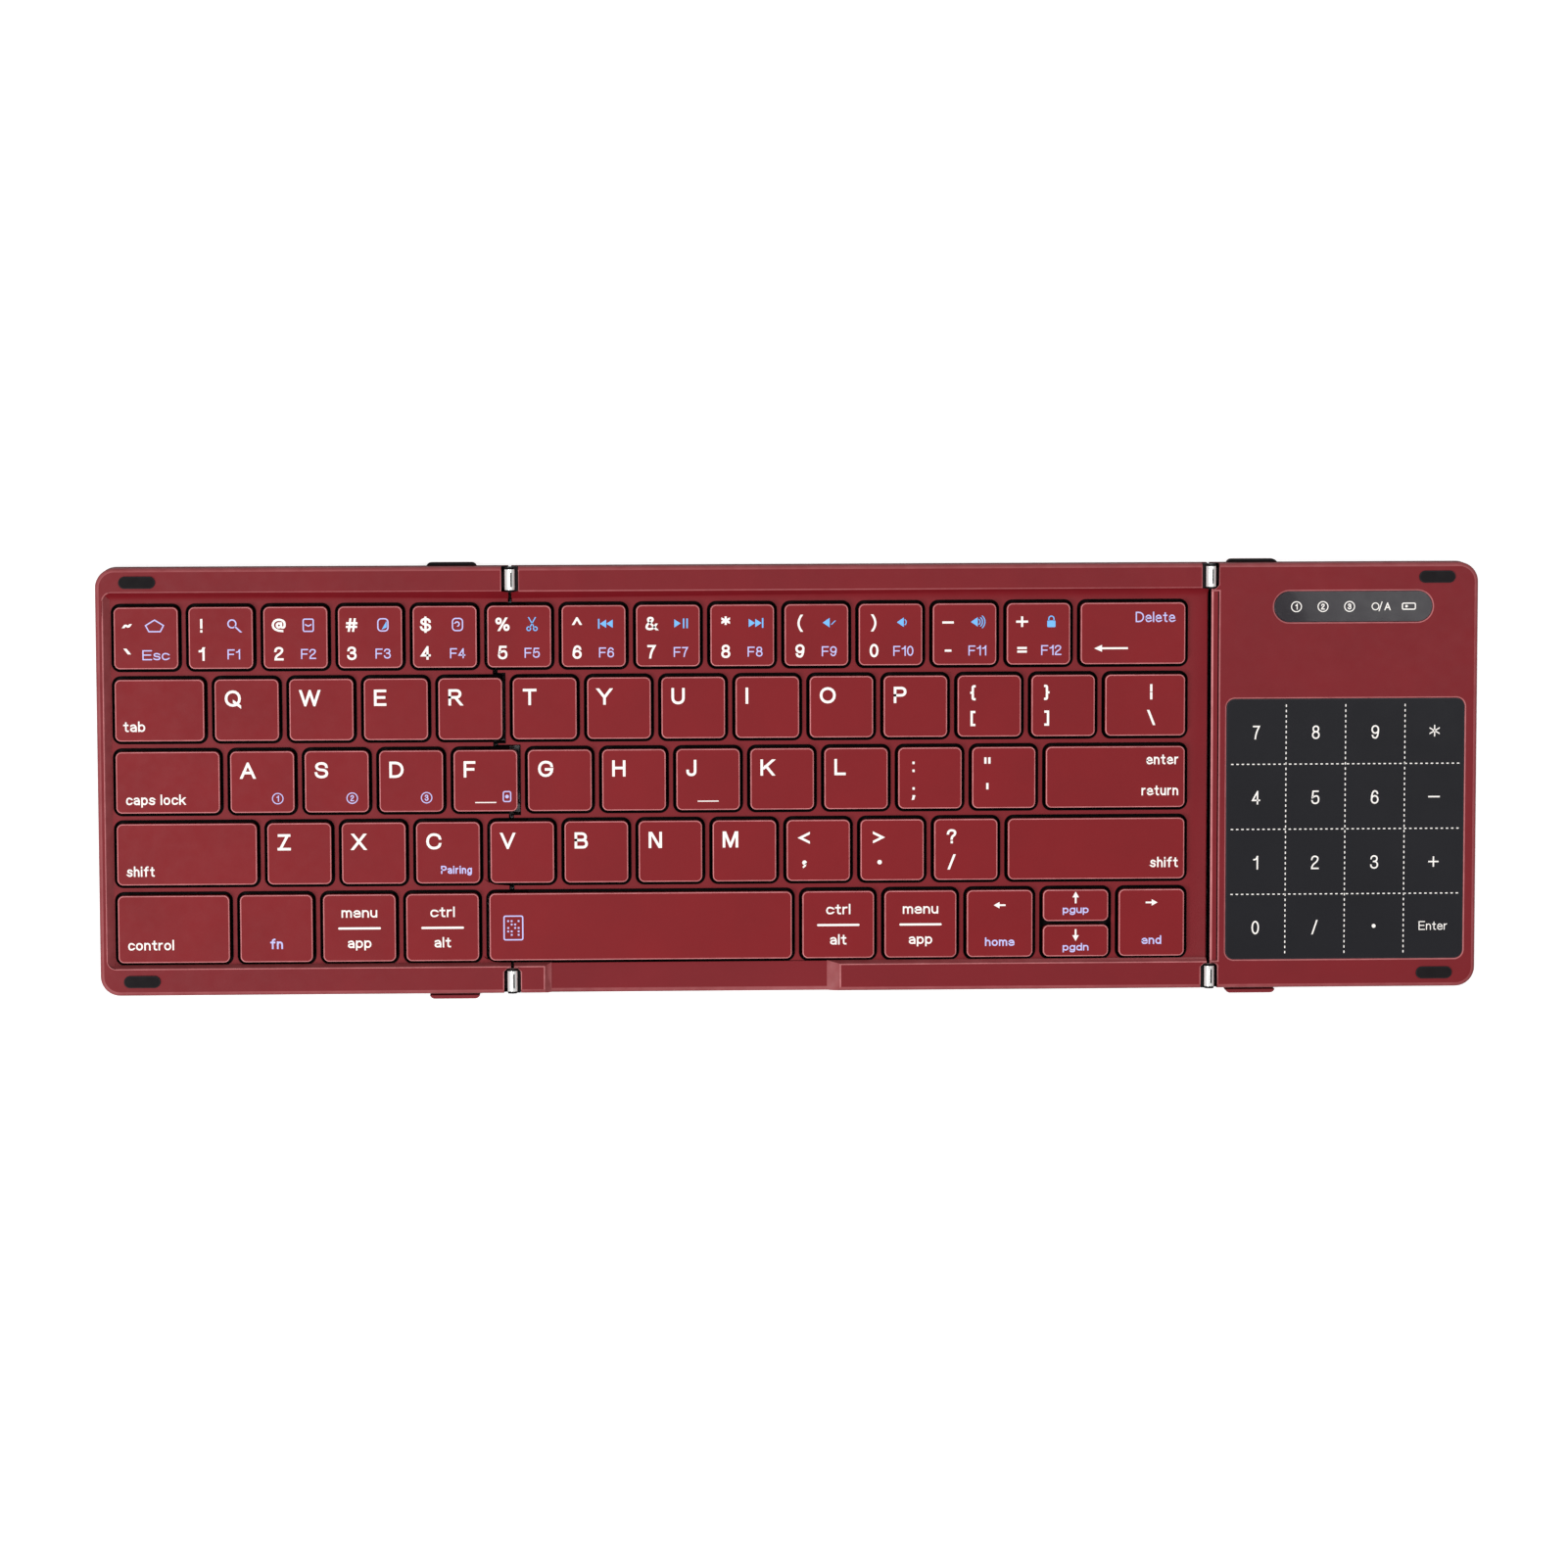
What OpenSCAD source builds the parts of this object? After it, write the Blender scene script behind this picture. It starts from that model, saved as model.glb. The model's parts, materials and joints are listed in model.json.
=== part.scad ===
// Folding keyboard in three panels, open and flat on a table.
// X runs to the right, Y to the rear, Z up. The origin is under the middle of the body.

/* [Body] */
// Overall width of the open keyboard
body_w = 318; // [290:1:400]
// Overall depth of the body, without the rail ends
body_d = 98.6; // [90:0.2:130]
// Width of the right panel, which holds the touch panel
right_panel_w = 62; // [56:1:80]
// Radius of the four outer corners, seen from above
corner_r = 4.5; // [2:0.5:8]
// Thickness of the outer walls
wall = 1.4; // [1:0.1:2]
// Thickness of the floors
floor_t = 1.2; // [0.8:0.1:1.4]
// Height of the feet and rails under the floors
foot_h = 0.8; // [0.5:0.1:2]

/* [Levels above the table] */
// Top of the rims and of the right cover
rim_z = 7.6; // [7.2:0.1:9]
// Deck between the keys
deck_z = 5.6; // [5.4:0.1:6]
// Parting plane between the base shells and the frames
part_z = 4.2; // [4:0.1:4.6]
// Top of the keycaps at rest
cap_z = 7.2; // [7:0.1:8]

/* [Keys] */
// Gap between neighbouring keycaps
cap_gap = 2.45; // [1.8:0.05:3.2]
// Gap between a keycap and the deck around it
hole_gap = 0.55; // [0.4:0.05:0.7]
// Extra depth of the caps in the front row
front_row_extra = 1.4; // [0:0.1:3]
// Corner radius of a keycap
cap_r = 1.3; // [0.5:0.1:2]
// Wall thickness of a keycap
cap_wall = 0.9; // [0.7:0.1:1.2]
// Height of a keycap's skirt
cap_h = 2; // [1.8:0.1:2.2]
// Travel of a key
key_travel = 1.5; // [1:0.1:1.5]
// Space from the left edge of the body to the first keycap
left_margin = 4.2; // [3.5:0.1:6]
// Space from the last keycap to the right fold axis
right_margin = 5.8; // [5:0.1:8]
// Space from the rear edge of the body to the rear row
rear_margin = 9; // [8.6:0.1:12]
// Space from the front edge of the body to the front row
front_margin = 7.6; // [7:0.1:10]

/* [Rims] */
// Width of the rear rim's flat top
rear_rim_w = 5.65; // [5:0.05:6.5]
// Width of the front rim's flat top
front_rim_w = 6.25; // [5.8:0.05:6.6]
// Width of the left rim's flat top
left_rim_w = 1.7; // [1:0.1:2.5]
// Width of the slope inside the rear rim
rear_slope = 1.75; // [0.5:0.05:2]
// Width of the slope inside the left rim
left_slope = 1.5; // [0.5:0.05:1.8]
// Width of the slope inside the front rim
front_slope = 0.7; // [0.3:0.05:0.8]
// Corner radius of the sunk well
well_r = 2; // [1:0.1:3]
// Width of the scoop in the front rim, at deck level
scoop_w = 63.7; // [40:0.1:80]
// Distance from the left fold axis to the scoop
scoop_offset = 9; // [6:0.1:20]
// Run of the scoop's left end slope
scoop_ramp_left = 1.6; // [0.5:0.1:4]
// Run of the scoop's right end slope
scoop_ramp_right = 3; // [0.5:0.1:5]

/* [Folds] */
// Height of both fold axes above the rims
axis_above_rim = 0.25; // [0.2:0.05:0.5]
// Gap between two panels at a seam
seam_gap = 0.7; // [0.5:0.05:1]
// Gap between interlocking edges, front to rear
finger_gap = 0.3; // [0.3:0.05:0.4]
// Distance of the left axis to the right of the gap beside the R key
axis_shift = 0.7; // [0.5:0.05:1]
// Jog of the seam to the left between the rear rows
seam_jog = 3.5; // [3:0.1:4]
// Diameter of a hinge barrel
barrel_d = 2.3; // [2:0.05:2.6]
// Length of a hinge barrel
barrel_l = 4.7; // [4:0.1:5]
// Diameter of a hinge pin
pin_d = 1; // [0.8:0.05:1.2]
// Radial running clearance between pin and barrel
pin_clear = 0.04; // [0.02:0.01:0.08]
// Width of the slot that a barrel turns in
slot_w = 3.9; // [3.4:0.1:4.5]
// Length of that slot from the edge of the body
slot_l = 5.8; // [5.7:0.1:6.2]
// Depth of that slot below the rim
slot_depth = 2.4; // [2:0.1:2.8]
// Thickness of a bracket's ear
ear_t = 0.45; // [0.4:0.05:0.5]
// Thickness of a hinge leaf
leaf_t = 0.6; // [0.4:0.1:0.8]

/* [Underside] */
// Width of a foot rail
rail_w = 11.7; // [8:0.1:14]
// Corner radius of a foot rail
rail_r = 1.2; // [0.5:0.1:1.5]
// How far a rail's ends stand out past the body
rail_overhang = 1.7; // [1:0.1:2.4]
// Thickness of a rail's upturned ends
rail_end_t = 0.8; // [0.4:0.1:0.9]
// Height of a rail's ends
rail_end_h = 3.4; // [2:0.1:4]
// Distance of the left rail from the left fold axis
left_rail_offset = 13.4; // [10:0.1:30]
// Distance of the right rail from the right fold axis
right_rail_offset = 10.1; // [8:0.1:20]
// Distance of the rubber feet from the fold axes
foot_offset = 18; // [14:0.5:30]
// Distance of the rubber feet from the front and rear edges
foot_inset = 9; // [6:0.5:14]
// Distance of the bumper pads from the sides of the body
bumper_side = 9.6; // [7:0.1:14]
// Distance of the bumper pads from the front and rear edges
bumper_inset = 3.3; // [2.6:0.1:4]

/* [Right panel] */
// Space from the right fold axis to the touch panel
touch_left = 3.84; // [3:0.01:6]
// Space from the touch panel to the right edge of the body
touch_right = 3; // [2:0.1:5]
// Space from the front edge of the body to the touch panel
touch_front = 6.7; // [5:0.1:9]
// Space from the rear edge of the body to the touch panel
touch_rear = 31.4; // [26:0.1:36]
// Thickness of the touch panel
touch_t = 0.8; // [0.6:0.1:1]
// Corner radius of the touch panel
touch_r = 1.9; // [1:0.1:3]
// Length of the indicator window
window_l = 36.6; // [25:0.1:44]
// Width of the indicator window
window_w = 7.05; // [5:0.05:9]
// Distance from the rear edge to the middle of the indicator window
window_rear = 10.1; // [8:0.1:14]
// Shift of the indicator window to the right of the touch panel's middle
window_shift = 1.6; // [0:0.1:3]
// Thickness of the right cover
cover_t = 1.6; // [1.4:0.1:1.8]
// Thickness of the battery
battery_t = 3; // [2:0.1:3.4]
// Thickness of the main board
board_t = 1; // [0.8:0.1:1.2]
// Outer width of the charging socket
usb_w = 8.94; // [8:0.02:10]
// Outer height of the charging socket
usb_h = 3; // [2.6:0.02:3]
// Depth of the charging socket
usb_l = 7; // [5:0.1:9]
// Wall of the charging socket
usb_wall = 0.3; // [0.2:0.05:0.4]
// Distance of the charging socket from the rear edge
usb_rear = 20; // [12:0.5:24]

/* [Hidden] */
$fn = 48;
eps = 0.05;
fit = 0.1; // gap of a pocket round the piece that sits in it
inner_gap = 0.3; // gap of a plate inside the walls
end_flat = 0.01; // half of the straight piece left in a round end

// Levels
floor_z = foot_h + floor_t;
plate_t = 1;
plate_z = floor_z + plate_t;
low_wall_z = plate_z;
cap_under_z = cap_z - cap_wall;
axis_z = rim_z + axis_above_rim;

// Key rows from rear to front: widths as shares of the pitch, gap included
row_units = 14.56;
ROWS = [
  [1, 1, 1, 1, 1, 1, 1, 1, 1, 1, 1, 1, 1, 1.56],
  [1.336, 1, 1, 1, 1, 1, 1, 1, 1, 1, 1, 1, 1, 1.224],
  [1.533, 1, 1, 1, 1, 1, 1, 1, 1, 1, 1, 1, 2.027],
  [2.02, 1, 1, 1, 1, 1, 1, 1, 1, 1, 1, 2.54],
  [1.641, 1.117, 1.119, 1.122, 4.232, 1.115, 1.117, 1.035, 1.03, 1.032]
];
// How many keys of each row sit on the left panel
LEFT_KEYS = [5, 5, 5, 4, 4];
SPACE_INDEX = 4;
UP_DOWN_INDEX = 8;

field_x = -body_w / 2 + left_margin;
right_axis_x = body_w / 2 - right_panel_w;
field_w = right_axis_x - right_margin - field_x;
pitch = (field_w + cap_gap) / row_units;
row_pitch = snap((body_d - rear_margin - front_margin - front_row_extra + cap_gap) / 5);
cap_d = row_pitch - cap_gap;

// Key edges lie on hundredths of a millimetre, so that round corners meet straight sides exactly
function snap(v) = round(v * 100) / 100;
function units_before(row, i) = i == 0 ? 0 : ROWS[row][i - 1] + units_before(row, i - 1);
function key_x(row, i) = snap(field_x + units_before(row, i) * pitch);
function key_right(row, i) = snap(field_x + units_before(row, i + 1) * pitch - cap_gap);
function key_w(row, i) = key_right(row, i) - key_x(row, i);
function row_depth(row) = cap_d + (row == 4 ? front_row_extra : 0);
function row_top(row) = body_d / 2 - rear_margin - row * row_pitch;
function row_y(row) = row_top(row) - row_depth(row) / 2;
function hole_hi(row) = row_top(row) + hole_gap;
function hole_lo(row) = row_top(row) - row_depth(row) - hole_gap;

// Left fold axis, just right of the gap between R and T
left_axis_x = key_x(1, 5) - cap_gap / 2 + axis_shift;

// Seam bands from rear to front: high y, low y, edge of the left panel, edge of the centre
// panel, and whether a keycap covers the band. R and F reach over the seam from the left,
// and the first centre keys of the other rows from the right.
half_seam = seam_gap / 2;
function centre_split(row) = key_x(row, LEFT_KEYS[row]);
function left_split(row) = key_right(row, LEFT_KEYS[row] - 1);
function key_band(row) =
  row == 1 ? [hole_hi(1), hole_lo(1), left_split(1), left_split(1) + hole_gap, true]
  : row == 2 ? [hole_hi(2), hole_lo(2), left_axis_x - half_seam, left_split(2) + hole_gap, true]
  : [hole_hi(row), hole_lo(row), centre_split(row) - hole_gap, centre_split(row), true];
function plain_band(y_hi, y_lo, x) = [y_hi, y_lo, x - half_seam, x + half_seam, false];
BANDS = [
  plain_band(body_d / 2, hole_hi(0), left_axis_x),
  key_band(0),
  plain_band(hole_lo(0), hole_hi(1), left_axis_x - seam_jog),
  key_band(1),
  plain_band(hole_lo(1), hole_hi(2), left_axis_x - seam_jog),
  key_band(2),
  plain_band(hole_lo(2), hole_hi(3), left_axis_x),
  key_band(3),
  plain_band(hole_lo(3), hole_hi(4), left_axis_x),
  key_band(4),
  plain_band(hole_lo(4), -body_d / 2, left_axis_x)
];
LAST_BAND = len(BANDS) - 1;
LEFT = 2; // place of the left panel's edge in a band
CENTRE = 3; // place of the centre panel's edge in a band

// Where a finger of the centre panel ends, so that it clears the left panel
function finger_shift(i) =
  BANDS[i + 1][CENTRE] < BANDS[i][CENTRE] ? -finger_gap
  : BANDS[i + 1][CENTRE] > BANDS[i][CENTRE] ? finger_gap : 0;
function band_low(side, i) =
  i == LAST_BAND ? BANDS[i][1] : BANDS[i][1] + (side == CENTRE ? finger_shift(i) : 0);
function band_high(side, i) = i == 0 ? BANDS[0][0] : band_low(side, i - 1);
function seam_points(side) = [
  for (i = [0:LAST_BAND], y = [band_high(side, i), band_low(side, i)]) [BANDS[i][side], y]
];
right_seam_shift = 0.15; // the right seam lies this far to the left of its axis
centre_right_x = right_axis_x - half_seam - right_seam_shift;
right_left_x = right_axis_x + half_seam - right_seam_shift;

// Plane outlines
module rounded_rect(x0, y0, x1, y1, r) {
  translate([x0 + r, y0]) square([x1 - x0 - 2 * r, y1 - y0]);
  translate([x0, y0 + r]) square([x1 - x0, y1 - y0 - 2 * r]);
  for (x = [x0 + r, x1 - r], y = [y0 + r, y1 - r]) translate([x, y]) circle(r = r);
}

// Outline with round ends, w long and d wide, about the origin
module long_hole(w, d) {
  rounded_rect(-w / 2, -d / 2, w / 2, d / 2, d / 2 - end_flat);
}

module block(x0, x1, y0, y1, z0, z1) {
  translate([x0, y0, z0]) cube([x1 - x0, y1 - y0, z1 - z0]);
}

module body_outline(inset = 0) {
  e = body_w / 2 - inset;
  d = body_d / 2 - inset;
  rounded_rect(-e, -d, e, d, corner_r - inset);
}

module left_outline() {
  intersection() {
    body_outline();
    polygon(concat([[-body_w, -body_d / 2], [-body_w, body_d / 2]], seam_points(LEFT)));
  }
}

module centre_outline() {
  right = [[centre_right_x, -body_d / 2], [centre_right_x, body_d / 2]];
  polygon(concat(seam_points(CENTRE), right));
}

module right_outline() {
  intersection() {
    body_outline();
    translate([right_left_x, -body_d]) square([body_w, 2 * body_d]);
  }
}

// Base shells

// Wall along the stepped seam; it stays low where a keycap comes down over it
module seam_wall(side) {
  out = side == LEFT ? 1 : -1;
  for (i = [0:LAST_BAND]) {
    x = BANDS[i][side];
    top = BANDS[i][4] ? low_wall_z : part_z;
    hi = band_high(side, i);
    lo = band_low(side, i);
    block(min(x, x - out * wall), max(x, x - out * wall), lo, hi, foot_h, top);
    if (i > 0) step_wall(side, i, i - 1, hi, -1, top);
    if (i < LAST_BAND) step_wall(side, i, i + 1, lo, 1, top);
  }
}

// Wall across the seam at one end of a band that stands out past its neighbour
module step_wall(side, i, neighbour, y, inward, top) {
  x = BANDS[i][side];
  other = BANDS[neighbour][side];
  out = side == LEFT ? 1 : -1;
  t = min(wall, band_high(side, i) - band_low(side, i));
  if ((x - other) * out > 0)
    block(min(x, other - out * wall), max(x, other - out * wall),
      min(y, y + inward * t), max(y, y + inward * t), foot_h, top);
}

// Space left for the flat cable that crosses a seam, between the rear wall and the step wall
flex_t = 0.25;
flex_gap = 0.3;
flex_y = BANDS[0][1] + wall + flex_gap;
flex_w = body_d / 2 - wall - flex_gap - flex_y;
module flex_window(x0, x1) {
  block(x0, x1, flex_y - flex_gap, flex_y + flex_w + flex_gap, plate_z, part_z + eps);
}

module left_base_shell() {
  color("#6f1424") difference() {
    union() {
      translate([0, 0, foot_h]) linear_extrude(floor_t) left_outline();
      translate([0, 0, foot_h]) linear_extrude(part_z - foot_h) difference() {
        left_outline();
        body_inside(-body_w / 2, left_axis_x + body_w);
      }
      seam_wall(LEFT);
    }
    flex_window(BANDS[0][LEFT] - wall - eps, BANDS[0][LEFT] + eps);
  }
}

module body_inside(x0, x1) {
  intersection() {
    body_outline(wall);
    translate([x0, -body_d]) square([x1 - x0, 2 * body_d]);
  }
}

module centre_base_shell() {
  color("#6f1424") difference() {
    union() {
      translate([0, 0, foot_h]) linear_extrude(floor_t) centre_outline();
      translate([0, 0, foot_h]) linear_extrude(part_z - foot_h) difference() {
        centre_outline();
        body_inside(-body_w, centre_right_x - wall);
      }
      seam_wall(CENTRE);
    }
    flex_window(BANDS[0][CENTRE] - eps, BANDS[0][CENTRE] + wall + eps);
    flex_window(centre_right_x - wall - eps, centre_right_x + eps);
  }
}

module right_base_shell() {
  color("#6f1424") difference() {
    translate([0, 0, foot_h]) linear_extrude(part_z - foot_h) right_outline();
    translate([0, 0, floor_z]) linear_extrude(part_z) body_inside(right_left_x + wall, body_w);
    flex_window(right_left_x - eps, right_left_x + wall + eps);
    usb_hole();
  }
}

// Top frames

// Sunk well with sloped sides; the sides that end at a seam run straight out
module well(x0, x1, slope_left) {
  y_rear = body_d / 2 - rear_rim_w;
  y_front = -body_d / 2 + front_rim_w;
  up = rim_z - deck_z;
  intersection() {
    translate([x0 - 1, 0, deck_z]) rotate([90, 0, 90]) linear_extrude(x1 - x0 + 2) polygon([
      [y_front + front_slope, 0], [y_rear - rear_slope, 0],
      [y_rear, up], [y_rear, up + 1], [y_front, up + 1], [y_front, up]
    ]);
    translate([0, body_d / 2, deck_z]) rotate([90, 0, 0]) linear_extrude(body_d) polygon([
      [x0 + slope_left, 0], [x1, 0], [x1, up + 1], [x0, up + 1], [x0, up]
    ]);
    translate([0, 0, deck_z]) linear_extrude(up + 1)
      rounded_rect(x0, y_front, x1 + well_r * 2, y_rear, well_r);
  }
}

// Opening for a key. Beside the seam it runs on past the panel's edge, on the given side.
module key_hole(row, i, past = 0) {
  extra = 2 * (cap_r + hole_gap);
  x0 = key_x(row, i) - hole_gap - (past < 0 ? extra : 0);
  x1 = key_right(row, i) + hole_gap + (past > 0 ? extra : 0);
  translate([0, 0, part_z - eps]) linear_extrude(rim_z - part_z)
    rounded_rect(x0, hole_lo(row), x1, hole_hi(row), cap_r + hole_gap);
}
function past_left_edge(row, i) = i == LEFT_KEYS[row] - 1 && (row == 1 || row == 2) ? 1 : 0;
function past_centre_edge(row, i) = i == LEFT_KEYS[row] && row != 1 && row != 2 ? -1 : 0;

// Hinge slots: each panel's half is cut by the whole slot
module hinge_slots(x) {
  for (s = [-1, 1]) {
    y_in = body_d / 2 - slot_l;
    block(x - slot_w / 2, x + slot_w / 2, min(s * y_in, s * body_d), max(s * y_in, s * body_d),
      rim_z - slot_depth, rim_z + 1);
  }
}

module left_top_frame() {
  color("#7d1628") difference() {
    translate([0, 0, part_z]) linear_extrude(rim_z - part_z) left_outline();
    well(-body_w / 2 + left_rim_w, 0, left_slope);
    for (row = [0:4], i = [0:LEFT_KEYS[row] - 1]) key_hole(row, i, past_left_edge(row, i));
    hinge_slots(left_axis_x);
    leaf_pockets(left_axis_x, -1);
  }
}

module centre_top_frame() {
  color("#7d1628") difference() {
    translate([0, 0, part_z]) linear_extrude(rim_z - part_z) centre_outline();
    well(-body_w / 2, body_w / 2, 0);
    for (row = [0:4], i = [LEFT_KEYS[row]:len(ROWS[row]) - 1])
      key_hole(row, i, past_centre_edge(row, i));
    scoop();
    hinge_slots(left_axis_x);
    hinge_slots(right_axis_x);
    bracket_pockets(left_axis_x, 1);
    bracket_pockets(right_axis_x, -1);
  }
}

// Opening in the front rim for a fingertip, with sloped ends
module scoop() {
  x0 = left_axis_x + scoop_offset;
  x1 = x0 + scoop_w;
  up = rim_z - deck_z;
  translate([0, -body_d / 2 + front_rim_w + front_slope + eps, deck_z]) rotate([90, 0, 0])
    linear_extrude(front_rim_w + front_slope + 1) polygon([
      [x0, 0], [x1, 0], [x1 + scoop_ramp_right, up], [x1 + scoop_ramp_right, up + 1],
      [x0 - scoop_ramp_left, up + 1], [x0 - scoop_ramp_left, up]
    ]);
}

// Keycaps

module keycap(x, y, w, d, foot_x, foot_y) {
  color("#7a1526") {
    difference() {
      translate([0, 0, cap_z - cap_h]) linear_extrude(cap_h)
        rounded_rect(x, y - d / 2, x + w, y + d / 2, cap_r);
      translate([0, 0, cap_z - cap_h - 1]) linear_extrude(cap_under_z - cap_z + cap_h + 1)
        rounded_rect(x + cap_wall, y - d / 2 + cap_wall, x + w - cap_wall, y + d / 2 - cap_wall,
          cap_r / 3);
    }
    for (sx = [-1, 1], sy = [-1, 1]) cap_clip(x + w / 2 + sx * foot_x, y + sy * foot_y, sy);
  }
}

// Clip under a cap that holds one end of a scissor link
clip_w = 1.4;
clip_t = 0.5;
clip_h = 0.7;
module cap_clip(x, y, sy) {
  y_far = y + sy * clip_t;
  block(x - clip_w / 2, x + clip_w / 2, min(y, y_far), max(y, y_far),
    cap_under_z - clip_h, cap_under_z + eps);
}

module key(row, i) {
  keycap(key_x(row, i), row_y(row), key_w(row, i), row_depth(row), link_l / 3, clip_y);
}

// The upper and lower halves that share one place in the front row
split_gap = 1.6;
half_clip_gap = 0.2; // between a half key's link and its clips
half_clip_y = 1.2;
function half_y(s) = row_y(4) + s * (row_depth(4) + split_gap) / 4;
module half_key(s) {
  keycap(key_x(4, UP_DOWN_INDEX), half_y(s), key_w(4, UP_DOWN_INDEX), (row_depth(4) - split_gap) / 2,
    link_l / 2 + half_clip_gap + clip_w / 2, half_clip_y);
}

// Letter keys: the letters of a row, the row, and the place of the first one
LETTERS = [["qwertyuiop", 1], ["asdfghjkl", 2], ["zxcvbnm", 3]];
LETTER_KEYS = [
  for (line = LETTERS, i = [0:len(line[0]) - 1]) [str("key_", line[0][i]), line[1], i + 1]
];

module number_keys_left() {
  for (i = [0:4]) key(0, i);
}

module number_keys_centre() {
  for (i = [5:12]) key(0, i);
}

module symbol_keys() {
  for (i = [11:13]) key(1, i);
  for (i = [10:11]) key(2, i);
  for (i = [8:10]) key(3, i);
}

module modifier_keys_left() {
  for (row = [1:3]) key(row, 0);
  for (i = [0:3]) key(4, i);
}

module modifier_keys_right() {
  key(0, 13);
  key(2, 12);
  key(3, 11);
  for (i = [5:6]) key(4, i);
}

module arrow_keys() {
  key(4, 7);
  key(4, 9);
  for (s = [-1, 1]) half_key(s);
}

module space_key() {
  key(4, SPACE_INDEX);
}

// Scissor links: two frames that cross at a pivot, between the plate and the cap
link_w = 10.4;
link_end_gap = 1.48; // from a link's end to the cap's wall: room for the clip and the wire
link_l = min(9.4, cap_d - 2 * (cap_wall + link_end_gap));
link_t = 0.6;
link_bar = 0.8;
link_gap = 0.2;
link_pin_d = 0.36;
link_pin_gap = 0.06;
half_link_w = 4.8;
half_link_bar = 0.5;
link_play = 0.1; // free height between a link, the plate and the cap
link_mid_z = (plate_z + cap_under_z) / 2;
clip_y = link_l / 2 + 0.25;
link_tilt = asin((cap_under_z - plate_z - link_t - link_play) / link_l);

module link_ring(w, bar) {
  difference() {
    cube([w, link_l, link_t], center = true);
    cube([w - 2 * bar, link_l - 2 * link_bar, link_t * 2], center = true);
  }
}

module scissor(x, y, w = link_w, bar = link_bar, turn = 0) {
  inner_w = w - 2 * bar - 2 * link_gap;
  translate([x, y, link_mid_z]) rotate([0, 0, turn]) {
    difference() {
      rotate([link_tilt, 0, 0]) link_ring(w, bar);
      rotate([0, 90, 0])
        cylinder(d = link_pin_d + 2 * link_pin_gap, h = w + 1, center = true, $fn = 16);
    }
    rotate([-link_tilt, 0, 0]) link_ring(inner_w, bar);
    for (s = [-1, 1]) translate([s * (inner_w / 2 - eps), 0, 0]) rotate([0, s * 90, 0])
      cylinder(d = link_pin_d, h = link_gap + bar + eps, $fn = 16);
  }
}

// The scissor of a half key lies across the key
module half_scissor(x, y) {
  scissor(x, y, half_link_w, half_link_bar, 90);
}

// Wire that keeps a long cap level, behind its scissor
wire_d = 0.5;
wire_inset = 2.5; // from the cap's sides to the wire's ends
wire_gap = 0.05;
module stabiliser(row, i) {
  y = row_y(row) - clip_y - clip_t - wire_gap - wire_d / 2;
  translate([key_x(row, i) + wire_inset, y, cap_under_z - wire_d / 2]) rotate([0, 90, 0])
    cylinder(d = wire_d, h = key_w(row, i) - 2 * wire_inset, $fn = 16);
}

LONG_KEY = 25; // caps wider than this have a wire
module links(first, last) {
  for (row = [0:4], i = [first[row]:last[row]]) {
    x = key_x(row, i) + key_w(row, i) / 2;
    if (row == 4 && i == UP_DOWN_INDEX) {
      for (s = [-1, 1]) half_scissor(x, half_y(s));
    } else {
      scissor(x, row_y(row));
    }
    if (key_w(row, i) > LONG_KEY) stabiliser(row, i);
  }
}
LEFT_FIRST = [0, 0, 0, 0, 0];
LEFT_LAST = [for (n = LEFT_KEYS) n - 1];
ROW_LAST = [for (row = ROWS) len(row) - 1];

module left_scissor_links() {
  color("#333336") links(LEFT_FIRST, LEFT_LAST);
}

module centre_scissor_links() {
  color("#333336") links(LEFT_KEYS, ROW_LAST);
}

// Rubber domes under the caps
dome_r = 3.1;
half_dome_r = 1.1;
dome_gap = 0.05; // between a dome's top and the cap
dome_foot_w = 1;
dome_foot_t = 0.2;
dome_top_t = 0.9;
module dome(x, y, r = dome_r) {
  h = cap_under_z - plate_z - dome_gap;
  neck = 0.45 * r;
  translate([x, y, plate_z]) rotate_extrude($fn = 24) polygon([
    [r - min(dome_foot_w, r / 2), 0], [r, 0], [r, dome_foot_t], [0.8 * r, 2 * dome_foot_t],
    [neck, h - dome_top_t / 3], [neck, h], [0, h], [0, h - dome_top_t], [0.3 * r, h - dome_top_t]
  ]);
}

module domes(first, last) {
  for (row = [0:4], i = [first[row]:last[row]]) {
    x = key_x(row, i) + key_w(row, i) / 2;
    if (row == 4 && i == UP_DOWN_INDEX) {
      for (s = [-1, 1]) dome(x, half_y(s), half_dome_r);
    } else {
      dome(x, row_y(row));
    }
  }
}

module left_rubber_domes() {
  color("#e8e6df") domes(LEFT_FIRST, LEFT_LAST);
}

module centre_rubber_domes() {
  color("#e8e6df") domes(LEFT_KEYS, ROW_LAST);
}

// Steel plates with their contact sheets, inside the base walls
module plate_bands(side, far) {
  out = side == LEFT ? 1 : -1;
  in = wall + inner_gap;
  for (i = [0:LAST_BAND]) if (BANDS[i][4] || i == 0 || i == LAST_BAND) {
    x = BANDS[i][side] - out * in;
    lo = band_low(side, i) + in;
    hi = band_high(side, i) - in;
    block(min(x, far), max(x, far), lo, hi, floor_z, plate_z);
  }
}

plate_y = body_d / 2 - wall - inner_gap;
left_plate_x = min([for (b = BANDS) b[LEFT]]) - wall - inner_gap;
centre_plate_x = max([for (b = BANDS) b[CENTRE]]) + wall + inner_gap;

module left_switch_plate() {
  x0 = -body_w / 2 + wall + inner_gap;
  color("#2c2c2e") {
    block(x0 + corner_r, left_plate_x, -plate_y, plate_y, floor_z, plate_z);
    block(x0, left_plate_x, -plate_y + corner_r, plate_y - corner_r, floor_z, plate_z);
    plate_bands(LEFT, left_plate_x - eps);
  }
}

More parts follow.
